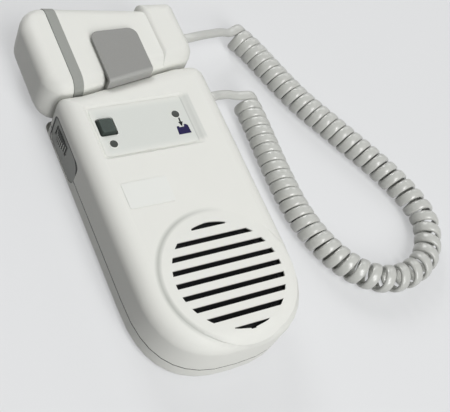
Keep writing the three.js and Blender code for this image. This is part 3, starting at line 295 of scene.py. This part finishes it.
DUST = 0.25
ROUGHNESS_SPREAD = 0.08
GRAIN_STRENGTH = 0.6


def moulded(name, light, deep, roughness, grain, relief, shine=None):
    """A moulded or cast finish: two near colours, a fine grain and faint handling marks."""
    material = bpy.data.materials.new(name)
    material.use_nodes = True
    graph = Graph(material.node_tree)
    surface = graph.nodes["Principled BSDF"].inputs
    where = graph.position()
    light, deep = srgb(*light), srgb(*deep)
    skin = graph.node("Group", {"Grain per metre": grain, "Position": where}, node_tree=moulded_skin)
    marks = graph.node("Group", {"Amount": DUST, "Position": where}, node_tree=handling_dust)
    base = graph.mix(skin["Mottle"], light, deep)
    rough = graph.node("MapRange", {
        "Value": skin["Mottle"],
        "To Min": roughness - ROUGHNESS_SPREAD, "To Max": roughness + ROUGHNESS_SPREAD,
    })["Result"]
    bump = graph.node("Bump", {
        "Height": skin["Height"], "Distance": relief * MM, "Strength": GRAIN_STRENGTH,
    })["Normal"]
    graph.feed(surface["Base Color"], graph.mix(marks["Mask"], base, deep))
    graph.feed(surface["Roughness"], rough)
    graph.feed(surface["Normal"], bump)
    for title, value in (shine or {}).items():
        surface[title].default_value = value
    return material


# Per finish: the material's name, its light and its deep colour, its roughness, the grain per metre, the
# relief of the grain, and what else its surface sets
SHELL = ((227, 227, 222), (221, 222, 216), 0.5, 2500.0, 0.02, {"Specular IOR Level": 0.32})
PRINT_SHINE = {"Specular IOR Level": 0.15}
FINISHES = {
    "white_shell": ("white_shell_plastic", *SHELL),
    "front_shell": ("front_shell_plastic", *SHELL),
    "back_shell": ("back_shell_plastic", *SHELL),
    "side_plastic": ("side_insert_plastic", (168, 170, 166), (150, 152, 148), 0.58, 1500.0, 0.05),
    "wheel_plastic": ("thumb_wheel_plastic", (158, 160, 156), (142, 144, 140), 0.58, 1500.0, 0.05),
    "tongue_plastic": ("tongue_plastic", (144, 144, 141), (133, 133, 130), 0.56, 1500.0, 0.05),
    "grey_rubber": ("grey_band_rubber", (151, 153, 148), (141, 143, 138), 0.66, 1800.0, 0.04),
    "dark_button": ("dark_key_plastic", (66, 76, 71), (46, 55, 51), 0.6, 1300.0, 0.05,
                    {"Specular IOR Level": 0.35}),
    "lamp_lens": ("smoked_lens", (62, 66, 61), (40, 44, 40), 0.35, 1100.0, 0.02, {"Specular IOR Level": 0.4}),
    "overlay": ("panel_film", (219, 220, 215), (215, 217, 211), 0.55, 3200.0, 0.01),
    "bare_plate": ("bare_label_film", (225, 226, 222), (221, 223, 218), 0.5, 3200.0, 0.005),
    "cord_plastic": ("cord_jacket", (195, 196, 191), (184, 185, 180), 0.3, 2600.0, 0.01,
                     {"Coat Weight": 0.35, "Coat Roughness": 0.15}),
    "steel": ("zinc_plated_steel", (196, 198, 201), (174, 177, 181), 0.34, 4000.0, 0.01, {"Metallic": 1.0}),
    "board": ("solder_mask", (38, 104, 68), (28, 84, 54), 0.4, 900.0, 0.02),
    "black_plastic": ("black_plastic", (38, 39, 41), (26, 27, 29), 0.5, 1800.0, 0.03),
    "capacitor_sleeve": ("capacitor_sleeve", (48, 57, 94), (40, 48, 82), 0.35, 1500.0, 0.01),
    "magnet": ("ferrite", (84, 86, 89), (66, 68, 71), 0.6, 1600.0, 0.04),
    "cone_paper": ("cone_paper", (30, 31, 33), (20, 21, 22), 0.85, 900.0, 0.1),
    "gasket_foam": ("gasket_foam", (36, 37, 39), (24, 25, 26), 0.9, 1400.0, 0.2),
    "battery_can": ("battery_can", (64, 67, 72), (54, 57, 62), 0.35, 1500.0, 0.01, {"Metallic": 0.6}),
    "foam": ("open_foam", (70, 71, 73), (48, 49, 50), 0.95, 1100.0, 0.4),
    "crystal_ceramic": ("fired_ceramic", (214, 203, 178), (201, 189, 162), 0.5, 2400.0, 0.01),
    "backing_resin": ("backing_resin", (98, 94, 88), (80, 77, 72), 0.7, 900.0, 0.06),
    "print_blue": ("printed_blue", (40, 34, 76), (32, 28, 64), 0.7, 3000.0, 0.01, PRINT_SHINE),
    "arrow_print": ("printed_arrow", (26, 28, 28), (20, 22, 22), 0.7, 3000.0, 0.01, PRINT_SHINE),
    "key_print": ("key_legend", (52, 60, 56), (46, 54, 50), 0.6, 3000.0, 0.01),
}
finish = {key: moulded(*values) for key, values in FINISHES.items()}


def tint(key, group, colour, values):
    """Lays another colour over a finish where a mask group says so."""
    graph = Graph(finish[key].node_tree)
    base = graph.nodes["Principled BSDF"].inputs["Base Color"]
    before = base.links[0].from_socket
    mask = graph.node("Group", {**values, "Position": graph.position()}, node_tree=group)["Mask"]
    graph.feed(base, graph.mix(mask, before, srgb(*colour)))


# The speaker slots are painted dark from below their upper edge on: painted shade deep in the slots.
SLOT_AREA_RADIUS = 26.0
SLOT_SHADE_RISE = 0.25
SLOT_SHADE_DEPTH = 0.7
tint("front_shell", round_well, (16, 16, 16), {
    "Centre": place(0, 0), "Radius": SLOT_AREA_RADIUS * MM, "Top": (FACE + SLOT_SHADE_RISE) * MM,
    "Softness": SLOT_SHADE_DEPTH * MM})

# The joint between the two shells is painted dark as well: painted shade for the gap between them, which
# shows a little further up on the back shell's lip.
SEAM = 10.6
SEAM_BELOW = 0.3
SEAM_ABOVE = {"front_shell": 0.3, "back_shell": 1.2}
for shell, above in SEAM_ABOVE.items():
    tint(shell, height_band, (40, 41, 39), {"Low": (SEAM - SEAM_BELOW) * MM, "High": (SEAM + above) * MM})

# Painted shade lies in the step around the grille, most of all on the side that faces left.
STEP_RADIUS = 30.8
STEP_SHADE_WIDTH = 1.7
STEP_SHADE_SIDE = math.radians(160)
STEP_SHADE_GAIN = 45
tint("front_shell", ring_shade, (184, 186, 180), {
    "Centre": place(0, 0), "Radius": STEP_RADIUS * MM, "Width": STEP_SHADE_WIDTH * MM,
    "Side": (STEP_SHADE_GAIN * math.cos(STEP_SHADE_SIDE), STEP_SHADE_GAIN * math.sin(STEP_SHADE_SIDE), 0.0)})

# Painted shade also lies in the slope right of the panel, more at its foot: (colour, left, right, low, high,
# side fade).
SLOPE_SHADES = [
    ((207, 209, 204), 14.0, 19.4, 65.6, 91.6, 0.8),
    ((188, 190, 185), 14.0, 15.6, 65.4, 90.6, 0.6),
]
SLOPE_END_FADE = 2.0
SLOPE_DEPTH = 1.6
SLOPE_RISE = 0.4
SLOPE_HEIGHT_FADE = 0.3
for colour, left, right, low, high, fade in SLOPE_SHADES:
    tint("front_shell", box_area, colour, {
        "Low": place(left, low, FACE - SLOPE_DEPTH), "High": place(right, high, FACE + SLOPE_RISE),
        "Fade": (fade * MM, SLOPE_END_FADE * MM, SLOPE_HEIGHT_FADE * MM)})

# Painted shade darkens the grooves between the ribs of the wheel.
GROOVE_DEPTH = 0.3
wheel_low, wheel_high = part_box("volume_wheel")
tint("wheel_plastic", round_well, (52, 54, 52), {
    "Centre": (wheel_low + wheel_high) / 2, "Radius": (wheel_high.x - wheel_low.x) / 2 - GROOVE_DEPTH * MM,
    "Top": FACE * MM})

# The fold of the tongue, which runs as slanted as the top wall does, is painted paler: a painted highlight.
TOP_WALL_RISE = 7.4
TOP_WALL_RUN = 48
TOP_SLANT = math.atan2(TOP_WALL_RISE, TOP_WALL_RUN)
FOLD_REACH = 1.7
FOLD_FADE = 1.2
fold_way = Vector((-math.sin(TOP_SLANT), math.cos(TOP_SLANT), 0))
tint("tongue_plastic", near_side, (163, 163, 160), {
    "Way": fold_way, "Reach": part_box("probe_clip")[0].dot(fold_way) + FOLD_REACH * MM,
    "Fade": FOLD_FADE * MM})

# The panel film is a little darker than the shell and runs out softly towards all edges but the right one.
FILM_FADE = 3
FILM_HEIGHT_FADE = 1
film_low, film_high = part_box("panel_overlay")
tint("overlay", box_area, (207, 210, 205), {
    "Low": (film_low.x, film_low.y, 0.0), "High": (film_high.x + FILM_FADE * MM, film_high.y, FACE * MM),
    "Fade": (FILM_FADE * MM, FILM_FADE * MM, FILM_HEIGHT_FADE * MM)})

# The key's sides are painted darker than its top, as painted shade.
KEY_SIDE_BELOW = 0.35
tint("dark_button", height_band, (46, 54, 50), {
    "Low": 0.0, "High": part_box("power_button")[1].z - KEY_SIDE_BELOW * MM})

# The CAD nodes take the finish of their slot in the record, apart from these.
slot_of = {entry["node"]: entry["material_slot"] for entry in frame["record"]["subparts"]}
OWN_FINISH = {
    "front_shell": "front_shell", "back_shell": "back_shell", "wheel_bezel": "side_plastic",
    "volume_wheel": "wheel_plastic", "probe_clip": "tongue_plastic", "speaker_basket": "black_plastic",
}


def finish_of(node_name):
    return OWN_FINISH.get(node_name, slot_of[node_name])


for node_name, node in frame["nodes"].items():
    material = finish[finish_of(node_name)]
    if node.material_slots:
        node.material_slots[0].material = material
    else:
        node.data.materials.append(material)


# Pieces

SMOOTH_ANGLE = 40
MERGE_DISTANCE = 0.002


def new_piece(name, mesh, material, smooth=SMOOTH_ANGLE):
    """Turns a bmesh into a linked object with one finish, smooth but for its sharp edges."""
    data = bpy.data.meshes.new(name)
    mesh.to_mesh(data)
    mesh.free()
    data.shade_smooth()
    data.set_sharp_from_angle(angle=math.radians(smooth))
    data.materials.append(finish[material])
    piece = bpy.data.objects.new(name, data)
    bpy.context.scene.collection.objects.link(piece)
    return piece


def closed_loop(mesh, verts):
    """The edges round a ring of points."""
    return [mesh.edges.new((verts[k], verts[(k + 1) % len(verts)])) for k in range(len(verts))]


def fill_between(mesh, loops):
    """A skin over loops that follow each other, with both ends closed."""
    for first, second in zip(loops, loops[1:]):
        bmesh.ops.bridge_loops(mesh, edges=first + second)
    for end in (loops[0], loops[-1]):
        bmesh.ops.contextual_create(mesh, geom=end)
    bmesh.ops.recalc_face_normals(mesh, faces=mesh.faces)


# The curly cord

CORD_WIDTH = 5.0
CORD_THICKNESS = 2.5
COIL_RADIUS = 6.8
COIL_TURNS = 54
COIL_LEAD = 5.5
STEPS_PER_TURN = 26
TAIL_STEPS = 30
FLAT_SIDES = 14
SQUARENESS = 2.6
FLOOR_GAP = 0.1
COIL_ROUTE = [
    (75.2, 137.6), (79.9, 128.4), (88.7, 104), (94.1, 91), (106.9, 67.8), (120.5, 42.8), (127.4, 25),
    (129, 12.6), (124.4, 0.4), (116.2, -8.7), (103.6, -13.3), (90.7, -12.6), (79.1, -6.1), (70.6, 4.4),
    (65, 17.3), (61.9, 33), (61.4, 49.7), (62, 66.7), (62.6, 79), (62.9, 90.4), (62.6, 96.8),
]
PROBE_TAIL_ROUTE = [(47.5, 130.7, 20.1), (55.3, 132.9, 17.5), (63, 134.9, 15)]
HOUSING_TAIL_ROUTE = [(51, 98.2, 13.8), (44.5, 97.7, 15.2)]
PROBE_EXIT = (33.8, 128.6, 22.0)
HOUSING_EXIT = (35.6, 96.7, 16.5)

# Where the turns stand further apart: (share of the coil's length, how far it spreads, growth of the pitch)
PITCH_RISES = [(0.5, 0.17, 0.36), (0.605, 0.05, 0.26)]
PITCH_SAMPLES = 2000
COIL_SAMPLES = 4000
TAIL_SAMPLES = 400
WAY_STEP = 0.0005


def reached(sums, target):
    """Where a rising list reaches a value: the index below it, and the share of the way to the next one."""
    low = min(max(bisect.bisect_right(sums, target) - 1, 0), len(sums) - 2)
    span = sums[low + 1] - sums[low]
    return low, (target - sums[low]) / span if span else 0.0


class SmoothRoute:
    """A centripetal curve through points, read by its share of the length."""

    def __init__(self, points, samples):
        self.points = [Vector(p) for p in points]
        self.steps = [self._at(i / samples) for i in range(samples + 1)]
        self.lengths = [0.0]
        for first, second in zip(self.steps, self.steps[1:]):
            self.lengths.append(self.lengths[-1] + (second - first).length)

    def _at(self, share):
        points = self.points
        last = len(points) - 1
        position = share * last
        index = min(int(position), last - 1)
        t = position - index
        p1, p2 = points[index], points[index + 1]
        p0 = points[index - 1] if index > 0 else 2 * p1 - p2
        p3 = points[index + 2] if index + 2 <= last else 2 * p2 - p1
        dt0, dt1, dt2 = ((b - a).length ** 0.5 for a, b in ((p0, p1), (p1, p2), (p2, p3)))
        m1 = ((p1 - p0) / dt0 - (p2 - p0) / (dt0 + dt1) + (p2 - p1) / dt1) * dt1
        m2 = ((p2 - p1) / dt1 - (p3 - p1) / (dt1 + dt2) + (p3 - p2) / dt2) * dt1
        return (p1 + m1 * t + (-3 * p1 + 3 * p2 - 2 * m1 - m2) * t * t
                + (2 * p1 - 2 * p2 + m1 + m2) * t * t * t)

    def at(self, share):
        low, past = reached(self.lengths, min(max(share, 0.0), 1.0) * self.lengths[-1])
        return self.steps[low].lerp(self.steps[low + 1], past)

    def way(self, share):
        return (self.at(share + WAY_STEP) - self.at(share - WAY_STEP)).normalized()


def turn_shares(count):
    """The share of the coil's length at each step."""
    sums = [0.0]
    for i in range(PITCH_SAMPLES):
        share = (i + 0.5) / PITCH_SAMPLES
        rises = [growth * math.exp(-(((share - middle) / spread) ** 2))
                 for middle, spread, growth in PITCH_RISES]
        sums.append(sums[-1] + 1 / sum(rises, 1))
    return [sum(reached(sums, step / count * sums[-1])) / PITCH_SAMPLES for step in range(count + 1)]


def cord_stations():
    """(point, outward) down the whole cord, from the probe to the unit, in drawn millimetres."""
    height = COIL_RADIUS + FLOOR_GAP
    reach = COIL_RADIUS - CORD_THICKNESS / 2
    route = SmoothRoute([(x, y, height) for x, y in COIL_ROUTE], COIL_SAMPLES)
    up = Vector((0, 0, 1))
    coil = []
    for step, share in enumerate(turn_shares(COIL_TURNS * STEPS_PER_TURN)):
        angle = step / STEPS_PER_TURN * 2 * math.pi
        outward = up * math.cos(angle) + up.cross(route.way(share)).normalized() * math.sin(angle)
        coil.append((route.at(share) + outward * reach, outward))
    start, end = coil[0][0], coil[-1][0]
    into = coil[1][0] - start
    out = end - coil[-2][0]
    into.z = out.z = 0
    first = SmoothRoute([
        PROBE_EXIT, (PROBE_EXIT[0] + COIL_LEAD, PROBE_EXIT[1], PROBE_EXIT[2]), *PROBE_TAIL_ROUTE,
        start - into.normalized() * COIL_LEAD, start,
    ], TAIL_SAMPLES)
    last = SmoothRoute([
        end, end + out.normalized() * COIL_LEAD, *HOUSING_TAIL_ROUTE,
        (HOUSING_EXIT[0] + COIL_LEAD, HOUSING_EXIT[1], HOUSING_EXIT[2]), HOUSING_EXIT,
    ], TAIL_SAMPLES)
    head = [(first.at(i / TAIL_STEPS), up) for i in range(TAIL_STEPS)]
    tail = [(last.at(i / TAIL_STEPS), up) for i in range(1, TAIL_STEPS + 1)]
    return head + coil + tail


def rounded(share):
    """A share of half the jacket's width or thickness, for a section between an oval and a box."""
    return math.copysign(abs(share) ** (2 / SQUARENESS), share)


def make_cord():
    stations = cord_stations()
    centres = [place(*point) for point, _ in stations]
    mesh = bmesh.new()
    loops = []
    for i, (_, outward) in enumerate(stations):
        way = (centres[min(i + 1, len(centres) - 1)] - centres[max(i - 1, 0)]).normalized()
        wide = way.cross(outward).normalized()
        thin = wide.cross(way).normalized()
        ring = []
        for k in range(FLAT_SIDES):
            angle = (k + 0.5) / FLAT_SIDES * 2 * math.pi
            ring.append(mesh.verts.new(
                centres[i]
                + wide * (CORD_WIDTH / 2 * MM * rounded(math.cos(angle)))
                + thin * (CORD_THICKNESS / 2 * MM * rounded(math.sin(angle)))))
        loops.append(closed_loop(mesh, ring))
    fill_between(mesh, loops)
    piece = new_piece("curly_cord", mesh, "cord_plastic")
    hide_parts("cord_coil", "cord_tail_probe", "cord_tail_housing")
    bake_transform(piece)


make_cord()


# Shells and other pieces that keep their CAD shape, with softened edges

FILM_CORNER = 1.6
FILM_EDGE_REACH = 0.05


def refined(node, edge=0.15, segments=2, angle=32, smooth=SMOOTH_ANGLE, lowered=0.0, widened=0.0,
            lengthened=0.0):
    """A merged copy of a CAD node with small rounded edges and even shading, in the node's place.

    Edges sharper than the angle are rounded, and what is sharper than the smooth angle stays sharp in
    the shading. A film may be lowered, its underside pressed down onto what it is stuck to, and its
    outer edge widened. A ring may be lengthened at both ends to close its joints.
    """
    source = frame["nodes"][node]
    mesh = bmesh.new()
    mesh.from_mesh(source.data)
    bmesh.ops.remove_doubles(mesh, verts=mesh.verts, dist=MERGE_DISTANCE * MM)
    bmesh.ops.dissolve_degenerate(mesh, dist=MERGE_DISTANCE * MM, edges=mesh.edges)
    if lowered:
        level = sum(vert.co.z for vert in mesh.verts) / len(mesh.verts)
        bmesh.ops.translate(mesh, vec=Vector((0, 0, -lowered * MM)),
                            verts=[vert for vert in mesh.verts if vert.co.z < level])
    low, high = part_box(node)
    middle, half = (low + high) / 2, (high - low) / 2
    if widened:
        for vert in mesh.verts:
            out = Vector((abs(vert.co.x - middle.x) - half.x, abs(vert.co.y - middle.y) - half.y)) / MM
            past = Vector((max(out.x + FILM_CORNER, 0.0), max(out.y + FILM_CORNER, 0.0)))
            if past.length - FILM_CORNER + min(max(out.x, out.y) + FILM_CORNER, 0.0) > -FILM_EDGE_REACH:
                way = past.normalized() * widened * MM
                vert.co.x += math.copysign(way.x, vert.co.x - middle.x)
                vert.co.y += math.copysign(way.y, vert.co.y - middle.y)
    if lengthened:
        for vert in mesh.verts:
            vert.co.x += math.copysign(lengthened * MM, vert.co.x - middle.x)
    sharp = [line for line in mesh.edges
             if len(line.link_faces) == 2 and line.calc_face_angle(0.0) > math.radians(angle)]
    bmesh.ops.bevel(mesh, geom=sharp, offset=edge * MM, offset_type="OFFSET", affect="EDGES",
                    segments=segments, profile=0.5, clamp_overlap=True, material=-1)
    piece = new_piece(node + "_finished", mesh, finish_of(node), smooth)
    shading = piece.modifiers.new("shading", "WEIGHTED_NORMAL")
    shading.keep_sharp = True
    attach(piece, source["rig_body"])
    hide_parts(node)


REFINED = {
    "front_shell": {"angle": 60, "smooth": 24},
    "back_shell": {},
    "battery_door": {},
    "wheel_bezel": {},
    "volume_wheel": {"edge": 0.1},
    "probe_clip": {"edge": 0.4, "segments": 3},
    "power_button": {"edge": 0.2, "segments": 3},
    "power_led_lens": {"edge": 0.25, "segments": 3},
    "signal_led_lens": {"edge": 0.25, "segments": 3},
    "probe_front_shell": {"smooth": 25},
    "probe_back_shell": {},
    "probe_face_cap": {},
    "probe_band": {"edge": 0.1, "lengthened": 0.2},
    "housing_gland": {"edge": 0.2},
    "probe_gland": {"edge": 0.2},
    "panel_overlay": {"edge": 0.1, "angle": 60, "lowered": 0.09, "widened": 0.28},
    "name_plate": {"edge": 0.08, "angle": 60, "lowered": 0.09},
}
for node_name, values in REFINED.items():
    refined(node_name, **values)


# A black strip as painted shade in the gap of the side insert

INSERT_MIDDLE = 82.6
INSERT_LENGTH = 28.2
INSERT_LOW = 5.0
INSERT_TOP = 21.2
NEAR_CORNER = 6.0
FAR_CORNER = 2.4
CORNER_STEPS = 6
JOINT_HALF_WIDTH = 0.34
JOINT_PROUD = 0.04
JOINT_DEPTH = 0.4
JOINT_SMOOTH_ANGLE = 30


def bezel_gap_shade():
    """A black strip in the gap over and beside the side insert, where it meets the wall of the shell: painted
    shade for the shadow there.
    """
    near, far = INSERT_MIDDLE - INSERT_LENGTH / 2, INSERT_MIDDLE + INSERT_LENGTH / 2
    corners = [
        (far - FAR_CORNER, INSERT_LOW + FAR_CORNER, FAR_CORNER, 270),
        (far - FAR_CORNER, INSERT_TOP - FAR_CORNER, FAR_CORNER, 0),
        (near + NEAR_CORNER, INSERT_TOP - NEAR_CORNER, NEAR_CORNER, 90),
    ]
    section = [(-JOINT_HALF_WIDTH, -JOINT_PROUD), (JOINT_HALF_WIDTH, -JOINT_PROUD),
               (JOINT_HALF_WIDTH, JOINT_DEPTH), (-JOINT_HALF_WIDTH, JOINT_DEPTH)]
    mesh = bmesh.new()
    loops = []
    for y, z, radius, first in corners:
        for step in range(CORNER_STEPS + 1):
            angle = math.radians(first + 90 * step / CORNER_STEPS)
            out = Vector((0, math.cos(angle), math.sin(angle)))
            point = Vector((shell_low.x, place(0, y).y, z * MM)) + out * radius * MM
            loops.append(closed_loop(mesh, [
                mesh.verts.new(point + out * across * MM + Vector((inward * MM, 0, 0)))
                for across, inward in section]))
    fill_between(mesh, loops)
    piece = new_piece("bezel_gap_shade", mesh, "black_plastic", JOINT_SMOOTH_ANGLE)
    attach(piece, "unit")


bezel_gap_shade()


# Printed marks, lamp rims and the sign on the key

PANEL_DEPTH = 1.2
FILM_GAP = 0.1
FILM_THICKNESS = 0.25
PANEL_TOP = FACE - PANEL_DEPTH + FILM_GAP + FILM_THICKNESS
PRINT_THICKNESS = 0.04
BLOCK_OUTLINE = [
    (6.53, 70.31), (12.83, 70.4), (12.6, 74.55), (11.75, 75.35), (10.75, 75.35), (10.6, 74.2), (8.3, 74.05),
    (8.1, 74.75), (7.1, 74.75), (6.8, 74.15),
]
ARROW_OUTLINE = [
    (10.2, 79.3), (9.44, 79.3), (9.36, 76.9), (8.6, 76.9), (9.7, 74.3), (10.9, 76.9), (10.12, 76.9),
]


def panel_print(name, outline, material):
    """A thin mark on the panel film, from an outline of drawn points."""
    mesh = bmesh.new()
    face = mesh.faces.new([mesh.verts.new(place(x, y, PANEL_TOP)) for x, y in outline])
    face.normal_update()
    if face.normal.z < 0:
        face.normal_flip()
    risen = bmesh.ops.extrude_face_region(mesh, geom=[face], use_keep_orig=True)
    bmesh.ops.translate(mesh, vec=Vector((0, 0, PRINT_THICKNESS * MM)),
                        verts=[item for item in risen["geom"] if isinstance(item, bmesh.types.BMVert)])
    bmesh.ops.recalc_face_normals(mesh, faces=mesh.faces)
    piece = new_piece(name, mesh, material)
    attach(piece, "unit")


# An empty-battery sign under its lamp: a block with two terminals, and an arrow that points at it
panel_print("battery_mark", BLOCK_OUTLINE, "print_blue")
panel_print("battery_arrow", ARROW_OUTLINE, "arrow_print")

RIM_RADIUS = 2.0
RIM_BEAD = 0.25
RIM_SIDES = 8
RIM_STEPS = 40


def lamp_rim(node):
    """A pale moulded ring around a lamp, where it comes through the panel."""
    low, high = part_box(node)
    centre = Vector(((low.x + high.x) / 2, (low.y + high.y) / 2, PANEL_TOP * MM))
    mesh = bmesh.new()
    ring = bmesh.ops.create_circle(mesh, cap_ends=False, segments=RIM_SIDES, radius=RIM_BEAD * MM)["verts"]
    for vert in ring:
        vert.co = centre + Vector((RIM_RADIUS * MM + vert.co.x, 0, vert.co.y))
    bmesh.ops.spin(mesh, geom=mesh.edges[:], cent=centre, axis=(0, 0, 1), dvec=(0, 0, 0), angle=2 * math.pi,
                   steps=RIM_STEPS, use_merge=True)
    bmesh.ops.remove_doubles(mesh, verts=mesh.verts, dist=MERGE_DISTANCE * MM)
    bmesh.ops.recalc_face_normals(mesh, faces=mesh.faces)
    piece = new_piece(node.replace("lens", "rim"), mesh, "white_shell")
    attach(piece, "unit")


lamp_rim("power_led_lens")
lamp_rim("signal_led_lens")

SIGN_RADIUS = 1.75
SIGN_HALF_LINE = 0.16
SIGN_GAP = math.radians(35)
SIGN_STEPS = 28
BAR_FOOT = 0.5
BAR_HEAD = 2.2
SIGN_THICKNESS = 0.08
SIGN_RISE = 0.06


def power_legend():
    """A standby sign on the key: an open ring with a bar in its gap."""
    low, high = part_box("power_button")
    centre = Vector(((low.x + high.x) / 2, (low.y + high.y) / 2, high.z + SIGN_RISE * MM))
    mesh = bmesh.new()
    rows = []
    for i in range(SIGN_STEPS + 1):
        angle = math.pi / 2 + SIGN_GAP + (2 * math.pi - 2 * SIGN_GAP) * i / SIGN_STEPS
        way = Vector((math.cos(angle), math.sin(angle), 0))
        rows.append([mesh.verts.new(centre + way * (SIGN_RADIUS + side * SIGN_HALF_LINE) * MM)
                     for side in (-1, 1)])
    for (a, b), (c, d) in zip(rows, rows[1:]):
        mesh.faces.new((a, b, d, c))
    mesh.faces.new([mesh.verts.new(centre + Vector((x * MM, y * MM, 0))) for x, y in (
        (-SIGN_HALF_LINE, BAR_FOOT), (SIGN_HALF_LINE, BAR_FOOT), (SIGN_HALF_LINE, BAR_HEAD),
        (-SIGN_HALF_LINE, BAR_HEAD))])
    bmesh.ops.recalc_face_normals(mesh, faces=mesh.faces)
    bmesh.ops.solidify(mesh, geom=mesh.faces[:], thickness=SIGN_THICKNESS * MM)
    bmesh.ops.recalc_face_normals(mesh, faces=mesh.faces)
    piece = new_piece("power_legend", mesh, "key_print")
    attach(piece, "power_button")


power_legend()


# Floor, light and surroundings

PALE = srgb(224, 225, 226)
TABLE_LIGHT = (0.42, 0.42, 0.42, 1.0)
WORLD_LIGHT = (0.03, 0.03, 0.03, 1.0)
SHADOW_SHARE = 0.45
TABLE_HALF_METRES = 3.0
TABLE_DROP = 0.05
LAMP_DISTANCE_METRES = 1.6
LAMP_SIZE_METRES = 0.7

# Per lamp: its direction round the object and above it in degrees, and its power in watts
LAMPS = {
    "high_light": (270, 60, 12.8),
    "front_light": (270, 35, 11.2),
    "far_light": (90, 35, 10.3),
    "cord_side_light": (45, 35, 2.8),
    "high_fill": (120, 62, 0.55),
}


def ray_share(graph):
    """1 for the rays that look at the surroundings, 0 for those that light the object."""
    path = graph.node("LightPath", {})
    seen = graph.calc("MAXIMUM", path["Is Camera Ray"], path["Is Glossy Ray"])
    return graph.calc("MAXIMUM", seen, path["Is Transmission Ray"])


def make_floor():
    """A pale table: seen, it shows its own colour and a faint shadow of the object."""
    mesh = bmesh.new()
    bmesh.ops.create_grid(mesh, x_segments=1, y_segments=1, size=TABLE_HALF_METRES)
    bmesh.ops.translate(mesh, vec=Vector((0, 0, -TABLE_DROP * MM)), verts=mesh.verts)
    data = bpy.data.meshes.new("table_top")
    mesh.to_mesh(data)
    mesh.free()
    material = bpy.data.materials.new("pale_table")
    material.use_nodes = True
    graph = Graph(material.node_tree)
    surface = graph.nodes["Principled BSDF"].inputs
    seen = ray_share(graph)
    shown = tuple(part * SHADOW_SHARE for part in PALE[:3]) + (1.0,)
    for title, value in {
        "Roughness": 0.9, "Specular IOR Level": 0.1, "Base Color": graph.mix(seen, TABLE_LIGHT, shown),
        "Emission Color": PALE, "Emission Strength": graph.calc("MULTIPLY", seen, 1 - SHADOW_SHARE),
    }.items():
        graph.feed(surface[title], value)
    data.materials.append(material)
    floor = bpy.data.objects.new("table_top", data)
    bpy.context.scene.collection.objects.link(floor)


def make_world():
    world = bpy.data.worlds.new("studio")
    bpy.context.scene.world = world
    world.use_nodes = True
    graph = Graph(world.node_tree)
    background = graph.nodes["Background"].inputs
    graph.feed(background["Color"], graph.mix(ray_share(graph), WORLD_LIGHT, PALE))
    background["Strength"].default_value = 1.0


def soft_lamp(name, around, above, energy):
    """A round soft lamp in a direction from the object, aimed at it."""
    turn, rise = math.radians(around), math.radians(above)
    way = Vector((math.cos(rise) * math.cos(turn), math.cos(rise) * math.sin(turn), math.sin(rise)))
    light = bpy.data.lights.new(name, "AREA")
    light.shape = "DISK"
    light.size = LAMP_SIZE_METRES
    light.energy = energy
    lamp = bpy.data.objects.new(name, light)
    lamp.location = way * LAMP_DISTANCE_METRES
    lamp.rotation_euler = (-way).to_track_quat("-Z", "Y").to_euler()
    bpy.context.scene.collection.objects.link(lamp)


make_floor()
make_world()
for lamp_name, values in LAMPS.items():
    soft_lamp(lamp_name, *values)

bpy.context.scene.view_settings.view_transform = "Standard"
